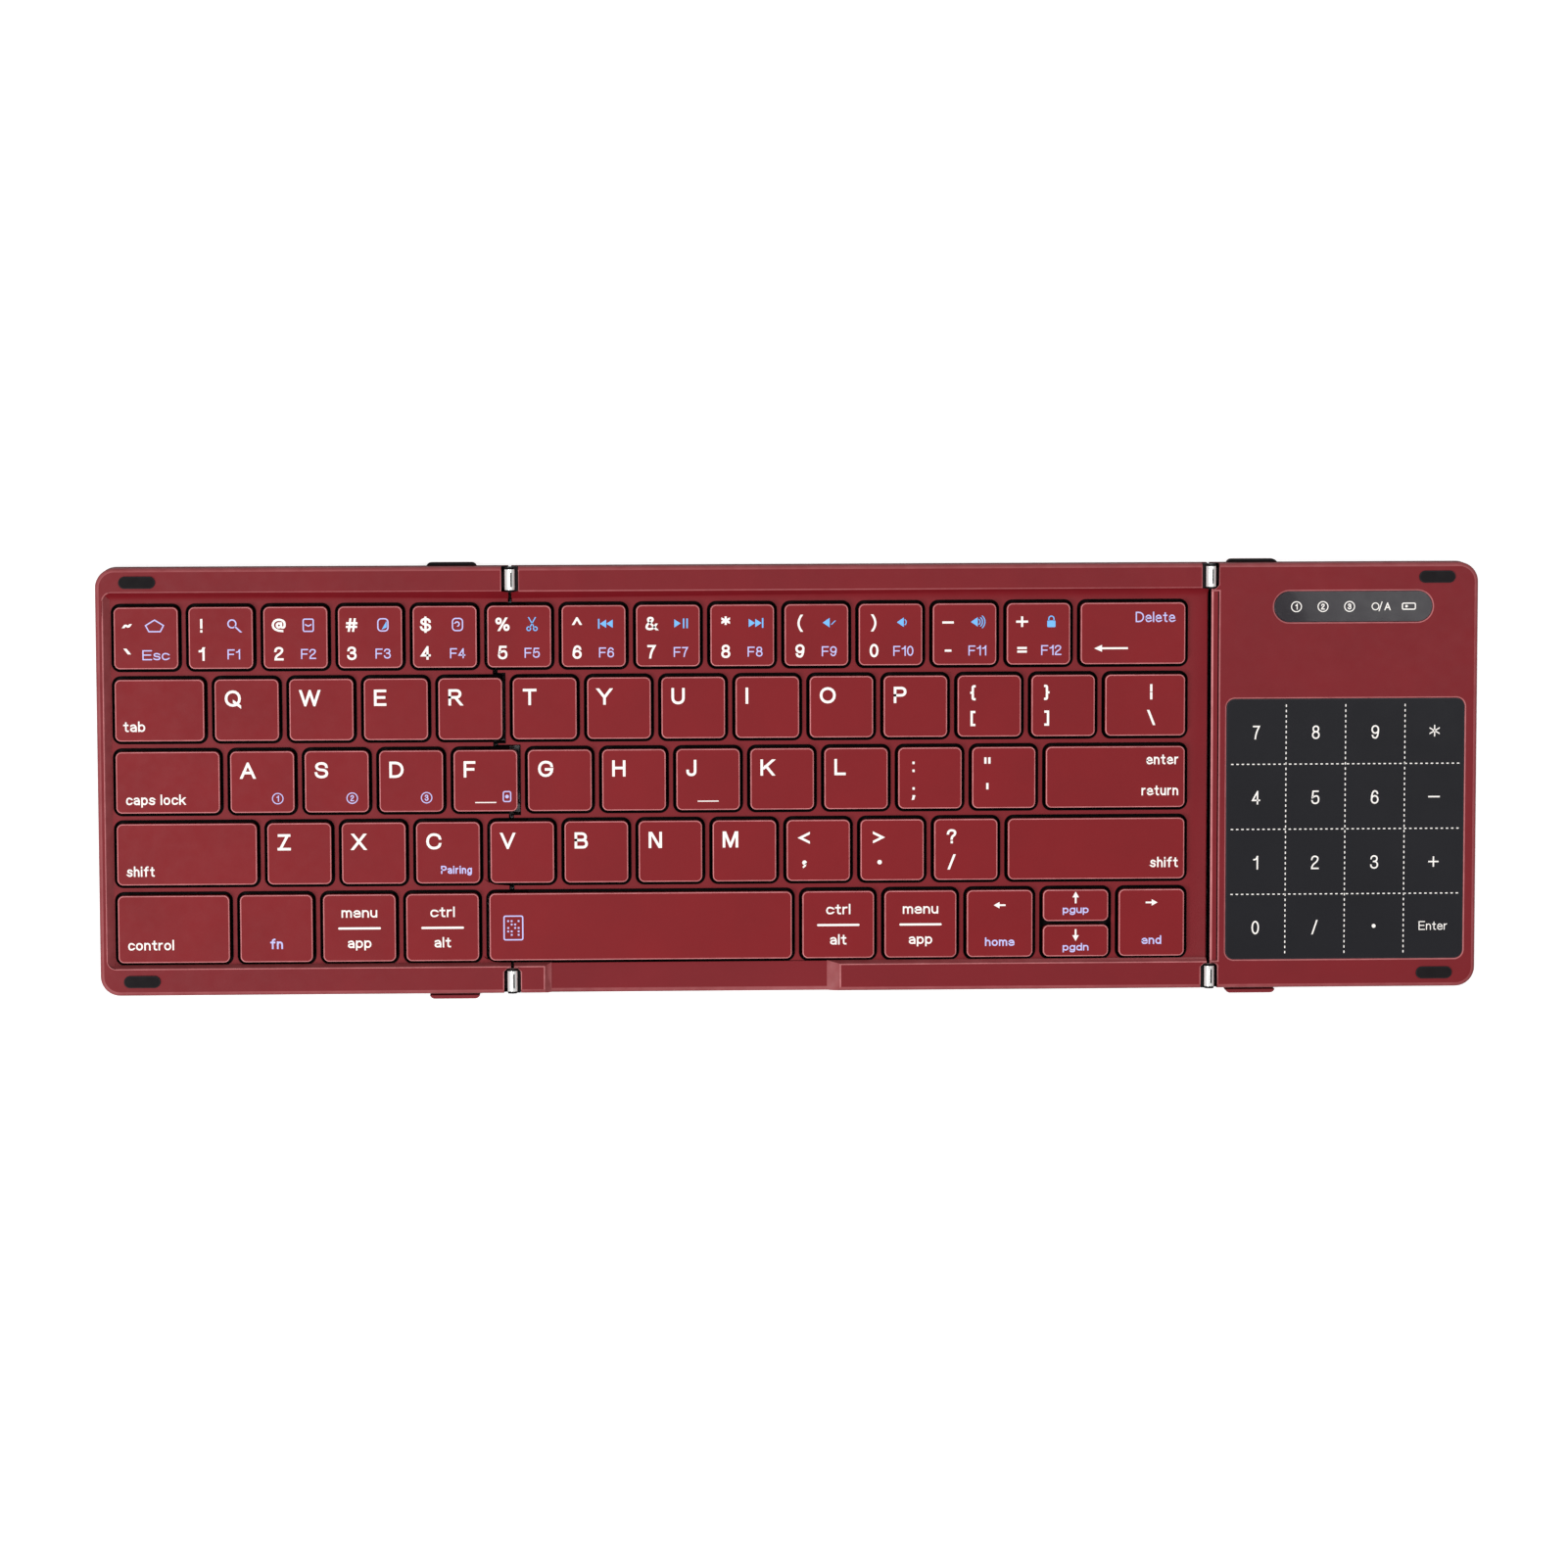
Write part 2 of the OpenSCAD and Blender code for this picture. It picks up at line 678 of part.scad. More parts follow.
module centre_switch_plate() {
  color("#2c2c2e") {
    block(centre_plate_x, centre_right_x - wall - inner_gap, -plate_y, plate_y, floor_z, plate_z);
    plate_bands(CENTRE, centre_plate_x + eps);
  }
}

// Flat cables across both seams, resting on the plates and on the main board
flex_reach = 4.6; // to each side of the fold axis
module flex_cables() {
  color("#b5651d") for (x = [left_axis_x, right_axis_x])
    block(x - flex_reach, x + flex_reach, flex_y, flex_y + flex_w, plate_z, plate_z + flex_t);
}

// Hinges. Each is drawn with its axis at x = 0, the fixed bracket on the side of +X.
ear_gap = 0.05; // between a barrel's end and the ear
barrel_y = body_d / 2 - slot_l / 2 - 0.05;
leaf_l = 3;
leaf_cover = 0.5; // plastic above the leaf
leaf_z = rim_z - leaf_cover - leaf_t;
collar = 0.45; // from a barrel's end to the groove
groove = 0.12; // width and depth of the groove

module at_hinges(x, side) {
  for (s = [-1, 1]) translate([x, s * barrel_y, 0]) mirror([side > 0 ? 0 : 1, 0, 0])
    mirror([0, s > 0 ? 0 : 1, 0]) children();
}

// Barrel with a groove near each end, and the leaf that goes into the moving panel
module knuckle() {
  difference() {
    union() {
      translate([0, barrel_l / 2, axis_z]) rotate([90, 0, 0]) cylinder(d = barrel_d, h = barrel_l);
      block(-slot_w / 2 - leaf_l, -barrel_d / 4, -barrel_l / 2 + collar + groove,
        barrel_l / 2 - collar - groove, leaf_z, leaf_z + leaf_t);
    }
    translate([0, barrel_l, axis_z]) rotate([90, 0, 0])
      cylinder(d = pin_d + 2 * pin_clear, h = 2 * barrel_l);
    for (s = [-1, 1]) translate([0, s * (barrel_l / 2 - collar), axis_z]) rotate([90, 0, 0])
      difference() {
        cylinder(d = barrel_d + 1, h = groove, center = true);
        cylinder(d = barrel_d - 2 * groove, h = 1, center = true);
      }
  }
}

module leaf_pockets(x, side) {
  at_hinges(x, -side)
    block(-slot_w / 2 - leaf_l - fit, 0, -barrel_l / 2, barrel_l / 2, leaf_z - fit,
      leaf_z + leaf_t + fit);
}

module left_hinge_knuckles() {
  color("#d9dadc") at_hinges(left_axis_x, 1) knuckle();
}

module right_hinge_knuckles() {
  color("#d9dadc") at_hinges(right_axis_x, -1) knuckle();
}

// Bracket: two ears round the barrel's ends, a bar beside the barrel that joins them, and a
// tongue that holds the bracket in the rim
bracket_l = 3.6;
tongue_half_w = 2;
bracket_low = rim_z - slot_depth + fit;
bracket_high = rim_z - 0.3;
bar_x = barrel_d / 2 + 0.15;
tongue_low = bracket_low + 0.3;
tongue_high = bracket_high - 0.4;
ear_y = barrel_l / 2 + ear_gap;
ear_d = barrel_d - 0.1;
ear_x = -0.6; // how far an ear's foot reaches past the axis
module bracket() {
  y_end = ear_y + ear_t;
  for (s = [-1, 1]) translate([0, s * (ear_y + ear_t / 2), 0]) difference() {
    union() {
      translate([0, ear_t / 2, axis_z]) rotate([90, 0, 0]) cylinder(d = ear_d, h = ear_t);
      block(ear_x, slot_w / 2 - fit, -ear_t / 2, ear_t / 2, bracket_low, bracket_high);
    }
    translate([0, ear_t, axis_z]) rotate([90, 0, 0]) cylinder(d = pin_d, h = 2 * ear_t);
  }
  block(bar_x, slot_w / 2 - fit, -y_end, y_end, bracket_low, bracket_high);
  block(bar_x, slot_w / 2 + bracket_l, -tongue_half_w, tongue_half_w, tongue_low, tongue_high);
}

module bracket_pockets(x, side) {
  at_hinges(x, side)
    block(0, slot_w / 2 + bracket_l + fit, -tongue_half_w - fit, tongue_half_w + fit,
      tongue_low - fit, tongue_high + fit);
}

module hinge_brackets() {
  color("#2a2a2c") {
    at_hinges(left_axis_x, 1) bracket();
    at_hinges(right_axis_x, -1) bracket();
  }
}

pin_inset = 0.01; // of a pin's end in the ear
module hinge_pin() {
  l = 2 * (ear_y + ear_t - pin_inset);
  translate([0, l / 2, axis_z]) rotate([90, 0, 0]) cylinder(d = pin_d, h = l);
}

module hinge_pins() {
  color("#c4c6c9") {
    at_hinges(left_axis_x, 1) hinge_pin();
    at_hinges(right_axis_x, -1) hinge_pin();
  }
}

// Underside rails with upturned ends that stand out past the body
module foot_rail(x) {
  y_out = body_d / 2 + rail_overhang;
  y_in = max(body_d / 2 + eps, y_out - rail_end_t);
  linear_extrude(foot_h) rail_outline(x, y_out);
  linear_extrude(rail_end_h) difference() {
    rail_outline(x, y_out);
    translate([x - rail_w, -y_in]) square([2 * rail_w, 2 * y_in]);
  }
}

module rail_outline(x, y_out) {
  rounded_rect(x - rail_w / 2, -y_out, x + rail_w / 2, y_out, rail_r);
}

module left_foot_rail() {
  color("#3c1a20") foot_rail(left_axis_x - left_rail_offset);
}

module right_foot_rail() {
  color("#3c1a20") foot_rail(right_axis_x + right_rail_offset);
}

foot_pad_w = 16;
foot_pad_d = 5;
module rubber_feet() {
  color("#1c1c1e") for (x = [left_axis_x + foot_offset, right_axis_x - foot_offset], s = [-1, 1])
    translate([x, s * (body_d / 2 - foot_inset), 0]) linear_extrude(foot_h)
      long_hole(foot_pad_w, foot_pad_d);
}

// Bumper pads on the rims, which hold the folded panels apart
bumper_w = 8.4;
bumper_d = 2.8;
bumper_h = axis_above_rim + 0.15;
bumper_x = body_w / 2 - bumper_side;
bumper_y = body_d / 2 - bumper_inset;
module bumper_pads(x) {
  color("#141416") for (s = [-1, 1]) translate([x, s * bumper_y, rim_z]) linear_extrude(bumper_h)
    long_hole(bumper_w, bumper_d);
}

module left_bumper_pads() {
  bumper_pads(-bumper_x);
}

module right_bumper_pads() {
  bumper_pads(bumper_x);
}

// Right panel
touch_x0 = right_axis_x + touch_left;
touch_x1 = body_w / 2 - touch_right;
touch_y0 = -body_d / 2 + touch_front;
touch_y1 = body_d / 2 - touch_rear;
window_x = (touch_x0 + touch_x1) / 2 + window_shift;
window_y = body_d / 2 - window_rear;
window_t = 0.8;
lip_w = 1.8;
lip_drop = 0.4;
lip_end_gap = 0.6; // from the lip's ends to the hinge slots

module touch_outline(grow = 0) {
  rounded_rect(touch_x0 - grow, touch_y0 - grow, touch_x1 + grow, touch_y1 + grow, touch_r + grow);
}

module window_outline(grow = 0) {
  translate([window_x, window_y]) long_hole(window_l + 2 * grow, window_w + 2 * grow);
}

module right_top_cover() {
  color("#7d1628") difference() {
    translate([0, 0, part_z]) linear_extrude(rim_z - part_z) right_outline();
    translate([0, 0, part_z - 1]) linear_extrude(rim_z - cover_t - part_z + 1)
      body_inside(right_left_x + wall + slot_w, body_w);
    translate([0, 0, rim_z - touch_t - fit]) linear_extrude(touch_t + 1) touch_outline(fit);
    translate([0, 0, rim_z - window_t - fit]) linear_extrude(window_t + 1) window_outline(fit);
    hinge_slots(right_axis_x);
    leaf_pockets(right_axis_x, 1);
    block(right_left_x - 1, right_left_x + lip_w, -body_d / 2 + slot_l + lip_end_gap,
      body_d / 2 - slot_l - lip_end_gap, rim_z - lip_drop, rim_z + 1);
    usb_hole();
  }
}

module touch_panel() {
  color("#26262a") translate([0, 0, rim_z - touch_t]) linear_extrude(touch_t) touch_outline();
}

module indicator_window() {
  color("#1a1a1d") translate([0, 0, rim_z - window_t]) linear_extrude(window_t) window_outline();
}

battery_y0 = touch_y0 + 2;
battery_y1 = touch_y1 - 6;
battery_inset = 3; // from the touch panel's sides
board_y0 = touch_y1 - 2;
board_y1 = body_d / 2 - wall - inner_gap;
board_x0 = right_left_x + wall + inner_gap;
board_x1 = body_w / 2 - wall - inner_gap;
module battery() {
  color("#b9bcc2") block(touch_x0 + battery_inset, touch_x1 - battery_inset, battery_y0, battery_y1,
    floor_z, floor_z + battery_t);
}

// Board with its chips and a row of small lamps under the indicator window
board_top = floor_z + board_t;
CHIPS = [[12, 8], [26, 5]]; // distance from the board's left edge, and width
chip_front = 4; // distance of the chips from the board's front edge
chip_t = 0.9;
lamp_count = 5;
lamp_pitch = (window_l - 10.8) / (lamp_count - 1);
lamp_w = 1.6;
lamp_d = 0.8;
lamp_t = 0.7;
module main_board() {
  color("#1f5a34") difference() {
    block(board_x0, board_x1, board_y0, board_y1, floor_z, board_top);
    block(board_x1 - corner_r, board_x1 + 1, board_y1 - corner_r, board_y1 + 1, floor_z - 1,
      board_top + 1);
  }
  color("#222226") for (chip = CHIPS) {
    x = board_x0 + chip[0];
    y = board_y0 + chip_front;
    block(x, x + chip[1], y, y + chip[1], board_top - eps, board_top + chip_t);
  }
  color("#e8ecf2") for (i = [0:lamp_count - 1])
    translate([window_x + (i - (lamp_count - 1) / 2) * lamp_pitch, window_y, board_top - eps])
      linear_extrude(lamp_t) square([lamp_w, lamp_d], center = true);
}

// Charging socket in the right wall, its shell standing on the board
usb_inset = 0.2; // from the body's side to the socket's mouth
usb_x0 = body_w / 2 - usb_l - usb_inset;
usb_y = body_d / 2 - usb_rear;
usb_z = board_top + usb_h / 2;
usb_back_t = 1;
tongue_w = 6.7;
tongue_t = 0.7;
tongue_inset = 1; // from the socket's mouth to the tongue's tip

module along_usb() {
  translate([usb_x0, usb_y, usb_z]) rotate([90, 0, 90]) children();
}

module usb_hole() {
  along_usb() linear_extrude(usb_l + 1) long_hole(usb_w + 2 * fit, usb_h + 2 * fit);
}

module usb_port() {
  color("#c8cacc") along_usb() {
    difference() {
      linear_extrude(usb_l) long_hole(usb_w, usb_h);
      translate([0, 0, usb_back_t]) linear_extrude(usb_l)
        long_hole(usb_w - 2 * usb_wall, usb_h - 2 * usb_wall);
    }
    translate([0, 0, usb_back_t - eps]) linear_extrude(usb_l - usb_back_t + eps - tongue_inset)
      square([tongue_w, tongue_t], center = true);
  }
}

left_base_shell();
left_top_frame();
left_switch_plate();
left_rubber_domes();
left_scissor_links();
left_foot_rail();
left_bumper_pads();
left_hinge_knuckles();
centre_base_shell();
centre_top_frame();
centre_switch_plate();
centre_rubber_domes();
centre_scissor_links();
rubber_feet();
hinge_brackets();
hinge_pins();
right_base_shell();
right_top_cover();
touch_panel();
indicator_window();
main_board();
battery();
usb_port();
right_foot_rail();
right_bumper_pads();
right_hinge_knuckles();
number_keys_left();
number_keys_centre();
symbol_keys();
modifier_keys_left();
modifier_keys_right();
arrow_keys();
space_key();
flex_cables();
for (k = LETTER_KEYS)
  key(k[1], k[2]);
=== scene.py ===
"""Looks of the folding keyboard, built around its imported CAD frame.

Lengths in this file are millimetres until a mesh is made (MM), and the axes are those of the CAD:
X to the right, Y to the rear, Z up.
"""

import json
import math

import bmesh
import bpy
from mathutils import Matrix, Vector
from mathutils.geometry import tessellate_polygon
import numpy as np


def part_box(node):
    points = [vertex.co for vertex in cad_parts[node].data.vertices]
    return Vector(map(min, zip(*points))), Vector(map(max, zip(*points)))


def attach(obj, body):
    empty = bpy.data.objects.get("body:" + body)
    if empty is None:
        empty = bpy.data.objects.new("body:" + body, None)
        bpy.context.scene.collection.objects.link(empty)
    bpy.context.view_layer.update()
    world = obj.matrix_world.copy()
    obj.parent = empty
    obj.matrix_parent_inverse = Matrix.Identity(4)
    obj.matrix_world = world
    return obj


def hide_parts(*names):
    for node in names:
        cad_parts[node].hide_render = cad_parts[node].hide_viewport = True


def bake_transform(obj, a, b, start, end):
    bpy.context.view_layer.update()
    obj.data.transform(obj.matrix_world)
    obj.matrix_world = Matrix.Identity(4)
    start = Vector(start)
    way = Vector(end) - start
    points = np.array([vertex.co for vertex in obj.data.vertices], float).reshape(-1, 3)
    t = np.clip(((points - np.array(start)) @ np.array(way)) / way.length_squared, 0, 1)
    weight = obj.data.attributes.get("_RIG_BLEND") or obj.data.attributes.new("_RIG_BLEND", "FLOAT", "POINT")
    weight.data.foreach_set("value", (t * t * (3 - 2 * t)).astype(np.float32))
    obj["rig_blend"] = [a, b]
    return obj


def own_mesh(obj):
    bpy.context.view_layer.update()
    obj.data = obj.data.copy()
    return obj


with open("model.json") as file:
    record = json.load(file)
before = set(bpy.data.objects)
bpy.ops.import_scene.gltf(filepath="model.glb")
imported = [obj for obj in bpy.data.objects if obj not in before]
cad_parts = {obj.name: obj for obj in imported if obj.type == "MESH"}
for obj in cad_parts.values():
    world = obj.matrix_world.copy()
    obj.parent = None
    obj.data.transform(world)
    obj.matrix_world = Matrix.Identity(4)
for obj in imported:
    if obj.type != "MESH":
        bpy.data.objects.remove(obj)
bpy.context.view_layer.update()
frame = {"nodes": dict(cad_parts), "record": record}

MM = 0.001
NODES = frame["nodes"]
BODY_OF = {n: b for b, nodes in frame["record"]["behaviour"]["bodies"].items() for n in nodes}
SLOT_OF = {s["node"]: s["material_slot"] for s in frame["record"]["subparts"]}

# Sizes repeated from the CAD source.
BODY_W, BODY_D, CORNER_R = 318.0, 98.6, 4.5
RIM_Z, DECK_Z, PART_Z, FOOT_Z, CAP_Z = 7.6, 5.6, 4.2, 0.8, 7.2
ROW_PITCH = 16.61
LEFT_AXIS_X, RIGHT_AXIS_X, AXIS_Z = -64.275, 97.0, 7.85
SLOT_W, SLOT_L, BARREL_R = 3.9, 5.8, 1.15
HOLE_GAP = 0.55  # between a cap and the edge of its opening
LIP_DROP, LIP_EDGE_X = 0.4, 99.0  # the step of the right cover beside the seam

# ---------------------------------------------------------------- materials


def srgb(r, g, b):
    """An sRGB colour of 0 to 255 as linear numbers."""
    def one(v):
        v = v / 255
        return v / 12.92 if v <= 0.04045 else ((v + 0.055) / 1.055) ** 2.4
    return (one(r), one(g), one(b), 1.0)


def shade(colour, k):
    return tuple(min(1.0, c * k) for c in colour[:3]) + (1.0,)


def feed(tree, node, inputs):
    """Sets a node's inputs, each to a value or to the output of another node."""
    for name, value in inputs.items():
        if isinstance(value, bpy.types.NodeSocket):
            tree.links.new(value, node.inputs[name])
        else:
            node.inputs[name].default_value = value
    return node


def add_node(tree, kind, inputs, **settings):
    node = tree.nodes.new("ShaderNode" + kind)
    for name, value in settings.items():
        setattr(node, name, value)
    return feed(tree, node, inputs)


SPECKS = (0, 0.22, 0.45, 0.75)  # their share grows from 0 to 0.22 as the noise goes 0.45 to 0.75
HIGHLIGHT_PATCH_MM, HIGHLIGHT_LEAST = 3.0, 0.7  # the patches of the painted highlight on rounded edges, and their faintest part
GRAIN_DEPTH = 0.5  # in grain sizes


def material(name, colour, rough, spec=0.3, metal=0.0, mottle=0.05, mottle_mm=14.0, grain_mm=0.28,
             grain=0.10, edge=None, highlight_mix=0.6, stretch=(1, 1, 1), coat=0.0):
    """A procedural material: two tones in a broad mottle with fine specks, a painted highlight in
    the edge colour where the mesh has the painted_highlight attribute, roughness that varies, and
    a fine moulded or drawn grain."""
    m = bpy.data.materials.new(name)
    m.use_nodes = True
    tree = m.node_tree
    place = add_node(tree, "TexCoord", {}).outputs["Object"]
    stretched = add_node(tree, "Mapping", {"Scale": stretch, "Vector": place}).outputs["Vector"]

    def noise(size, detail, source):
        return add_node(tree, "TexNoise", {"Scale": 1 / (size * MM), "Detail": detail,
                                           "Vector": source}).outputs["Fac"]

    def spread(source, low, high, from_low=0.3, from_high=0.7):
        return add_node(tree, "MapRange", {"From Min": from_low, "From Max": from_high,
                                           "To Min": low, "To Max": high,
                                           "Value": source}).outputs["Result"]

    def mix(factor, a, b):
        return add_node(tree, "Mix", {"Factor": factor, "A": a, "B": b},
                        data_type="RGBA").outputs["Result"]

    colour = srgb(*colour)
    fine = noise(grain_mm, 2, stretched)
    tone = mix(spread(noise(mottle_mm, 3, place), 0, 1), shade(colour, 1 - mottle),
               shade(colour, 1 + mottle))
    tone = mix(spread(fine, *SPECKS), tone, shade(colour, 1 + 4 * mottle))
    # The edge colour is a painted highlight, laid on the faces that the painted_highlight attribute marks.
    if edge:
        highlight_amount = add_node(tree, "Attribute", {}, attribute_name="painted_highlight").outputs["Fac"]
        patches = spread(noise(HIGHLIGHT_PATCH_MM, 3, place), highlight_mix * HIGHLIGHT_LEAST, highlight_mix)
        share = add_node(tree, "Math", {0: highlight_amount, 1: patches}, operation="MULTIPLY")
        tone = mix(share.outputs["Value"], tone, srgb(*edge))
    bump = add_node(tree, "Bump", {"Strength": grain, "Distance": grain_mm * MM * GRAIN_DEPTH,
                                   "Height": fine})
    feed(tree, tree.nodes["Principled BSDF"], {
        "Metallic": metal, "Specular IOR Level": spec, "Coat Weight": coat, "Base Color": tone,
        "Roughness": spread(noise(mottle_mm / 5, 4, stretched), *rough),
        "Normal": bump.outputs["Normal"]})
    return m


# A painted highlight: the pale pink on the rounded edges of the caps and frames. In each finish below, edge
# is the colour of the painted highlight on rounded edges and highlight_mix its strength.
PAINTED_EDGE_HIGHLIGHT = (214, 136, 138)
FINISHES = {  # colour, least and most roughness, and what differs from a plain moulded surface
    "keycap_red": ((123, 15, 23), (0.44, 0.54),
                   dict(spec=0.22, edge=PAINTED_EDGE_HIGHLIGHT, highlight_mix=0.95, grain=0.08)),
    "frame_red": ((117, 18, 27), (0.46, 0.56),
                  dict(spec=0.24, edge=PAINTED_EDGE_HIGHLIGHT, highlight_mix=0.9, grain=0.12)),
    "shell_red": ((106, 30, 38), (0.5, 0.66),
                  dict(spec=0.15, edge=(150, 70, 76), highlight_mix=0.5, grain=0.25, grain_mm=0.4)),
    "rail_plastic": ((132, 44, 50), (0.5, 0.65),
                     dict(spec=0.15, edge=(176, 92, 98), highlight_mix=0.6, grain=0.2, grain_mm=0.35)),
    "black_rubber": ((24, 21, 23), (0.7, 0.85),
                     dict(spec=0.15, grain=0.3, grain_mm=0.22, mottle=0.12, edge=(62, 58, 62),
                          highlight_mix=0.5)),
    "touch_black": ((29, 29, 33), (0.36, 0.46),
                    dict(spec=0.12, grain=0.04, grain_mm=0.16, mottle=0.08, mottle_mm=22,
                         edge=(80, 78, 84), highlight_mix=0.6)),
    "window_black": ((34, 30, 36), (0.1, 0.2),
                     dict(spec=0.2, grain=0.02, grain_mm=0.2, mottle=0.1, coat=0.15,
                          edge=(66, 62, 70), highlight_mix=0.5)),
    # A bright metal: its near-white base, only partly metal, is in part a painted reflection.
    "hinge_chrome": ((250, 250, 248), (0.16, 0.28),
                     dict(metal=0.35, spec=0.6, mottle=0.03, mottle_mm=4, grain=0.05, grain_mm=0.5,
                          stretch=(1, 12, 1), edge=(240, 240, 238), highlight_mix=0.5)),
    "bracket_dark": ((22, 19, 21), (0.45, 0.6),
                     dict(metal=0.3, spec=0.15, grain=0.1, grain_mm=0.2, mottle=0.15)),
    "plate_steel": ((20, 16, 18), (0.5, 0.65),
                    dict(spec=0.1, metal=0.2, grain=0.12, grain_mm=0.5, stretch=(0.06, 1, 1),
                         mottle=0.1)),
    "dome_rubber": ((226, 224, 214), (0.5, 0.65), dict(grain=0.1, mottle=0.03)),
    "link_plastic": ((26, 23, 25), (0.45, 0.6), dict(spec=0.1, grain=0.06, mottle=0.08)),
    "board_green": ((26, 92, 52), (0.25, 0.4),
                    dict(spec=0.5, grain=0.15, grain_mm=0.6, mottle=0.14, mottle_mm=5)),
    "battery_silver": ((190, 192, 196), (0.3, 0.5),
                       dict(metal=0.9, grain=0.3, grain_mm=2.5, mottle=0.05)),
    "flex_amber": ((104, 60, 22), (0.25, 0.4),
                   dict(spec=0.3, grain=0.1, grain_mm=0.6, stretch=(0.1, 1, 1), mottle=0.1)),
    # A black painted as shade in the slots, openings, gaps and grooves.
    "painted_shade_black": ((14, 8, 10), (0.6, 0.8), dict(spec=0.05, grain=0.1, mottle=0.1)),
    "ink_white": ((253, 248, 243), (0.5, 0.65), dict(spec=0.1, grain=0.05, mottle=0.02, mottle_mm=3)),
    "ink_blue": ((196, 196, 246), (0.5, 0.65), dict(spec=0.1, grain=0.05, mottle=0.04, mottle_mm=3)),
    "ink_sky": ((120, 186, 250), (0.5, 0.65), dict(spec=0.1, grain=0.05, mottle=0.04, mottle_mm=3)),
}
LOOKS = {name: material(name, colour, rough, **more)
         for name, (colour, rough, more) in FINISHES.items()}
INKS = ("ink_white", "ink_blue", "ink_sky")

for node, thing in NODES.items():
    thing.data.materials.clear()
    thing.data.materials.append(LOOKS[SLOT_OF[node]])

# ---------------------------------------------------------------- mesh helpers


def add_object(name, data):
    thing = bpy.data.objects.new(name, data)
    bpy.context.scene.collection.objects.link(thing)
    return thing


SMOOTH_DEG = 32  # edges that turn more than this stay sharp


def finish_mesh(name, bm, looks, body, weighted=True):
    """Makes an object of a bmesh in millimetres, with smooth rounded parts and crisp flats."""
    bmesh.ops.scale(bm, vec=(MM, MM, MM), verts=bm.verts)
    mesh = bpy.data.meshes.new(name)
    bm.to_mesh(mesh)
    bm.free()
    for look in looks:
        mesh.materials.append(LOOKS[look])
    mesh.shade_smooth()
    mesh.set_sharp_from_angle(angle=math.radians(SMOOTH_DEG))
    thing = add_object(name, mesh)
    if weighted:
        flats = thing.modifiers.new("flats", "WEIGHTED_NORMAL")
        flats.keep_sharp = True
        flats.weight = 100
    if body:
        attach(thing, body)
    return thing


def cad_mesh(node):
    """A node's mesh in millimetres, its doubled points merged and its flat faces whole."""
    bm = bmesh.new()
    bm.from_mesh(NODES[node].data)
    bmesh.ops.scale(bm, vec=(1 / MM,) * 3, verts=bm.verts)
    bmesh.ops.remove_doubles(bm, verts=bm.verts, dist=0.002)
    bmesh.ops.dissolve_limit(bm, angle_limit=0.0015, verts=bm.verts, edges=bm.edges)
    bm.normal_update()
    return bm


def outline_distance(p):
    """Distance of a point outside (+) or inside (-) the body's rounded outline."""
    dx = abs(p.x) - (BODY_W / 2 - CORNER_R)
    dy = abs(p.y) - (BODY_D / 2 - CORNER_R)
    return math.hypot(max(dx, 0), max(dy, 0)) + min(max(dx, dy), 0) - CORNER_R


FREE_RADIUS = 0.5  # smaller roundings need no limit where edges meet
CLOSE, LEVEL_CLOSE = 0.04, 0.03  # how near a point counts as on a line, and as at a height
EDGE_DEG, CORNER_DEG = 25, 60  # the least turns of an edge and of a corner that get rounded


def on_outline(edge):
    return all(abs(outline_distance(v.co)) < CLOSE for v in edge.verts)


def level(edge, z):
    return all(abs(v.co.z - z) < LEVEL_CLOSE for v in edge.verts)


def faces_up(edge, up=1):
    """The edge lies between a face that looks up (or down) and one that looks sideways."""
    a, b = (f.normal.z * up for f in edge.link_faces)
    return max(a, b) > 0.9 and abs(min(a, b)) < 0.3


def soften(bm, rules):
    """Rounds the edges that each rule picks: (pick, radius, segments, share of painted highlight on the
    rounded faces).
    """
    layer = bm.faces.layers.float.get("painted_highlight") or bm.faces.layers.float.new("painted_highlight")
    for pick, radius, segments, highlight_amount in rules:
        chosen = [e for e in bm.edges if len(e.link_faces) == 2 and e.is_convex
                  and e.calc_face_angle() > math.radians(EDGE_DEG) and pick(e)]
        made = bmesh.ops.bevel(bm, geom=chosen, offset=radius, offset_type="OFFSET",
                               segments=segments, profile=0.5, affect="EDGES",
                               clamp_overlap=radius > FREE_RADIUS)
        for f in made["faces"]:
            f[layer] = highlight_amount
        bm.normal_update()


def fill_corners(bm, pick, radius, segments=6):
    """Rounds the upright inner corners at the points that are picked."""
    chosen = []
    for e in bm.edges:
        a, b = (v.co for v in e.verts)
        if (len(e.link_faces) == 2 and not e.is_convex and math.hypot(a.x - b.x, a.y - b.y) < 0.01
                and e.calc_face_angle() > math.radians(CORNER_DEG) and pick(a)):
            chosen.append(e)
    bmesh.ops.bevel(bm, geom=chosen, offset=radius, offset_type="OFFSET", segments=segments,
                    profile=0.5, affect="EDGES", clamp_overlap=False)
    bm.normal_update()


def stand_for(thing, *nodes):
    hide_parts(*nodes)


def soft_copy(node, rules, corners=(), extra=None, looks=()):
    """A detailed piece in a CAD node's place: its mesh with rounded corners and edges."""
    bm = cad_mesh(node)
    for pick, radius in corners:
        fill_corners(bm, pick, radius)
    soften(bm, rules)
    if extra:
        extra(bm)
    thing = finish_mesh(node + "_soft", bm, (SLOT_OF[node],) + tuple(looks), BODY_OF[node])
    stand_for(thing, node)


# ---------------------------------------------------------------- shells, frames and cover


def solids(bm):
    """The separate solids of a mesh, each as the list of its points."""
    seen = set()
    for start in bm.verts:
        if start in seen:
            continue
        seen.add(start)
        stack, points = [start], []
        while stack:
            v = stack.pop()
            points.append(v)
            for e in v.link_edges:
                w = e.other_vert(v)
                if w not in seen:
                    seen.add(w)
                    stack.append(w)
        yield points


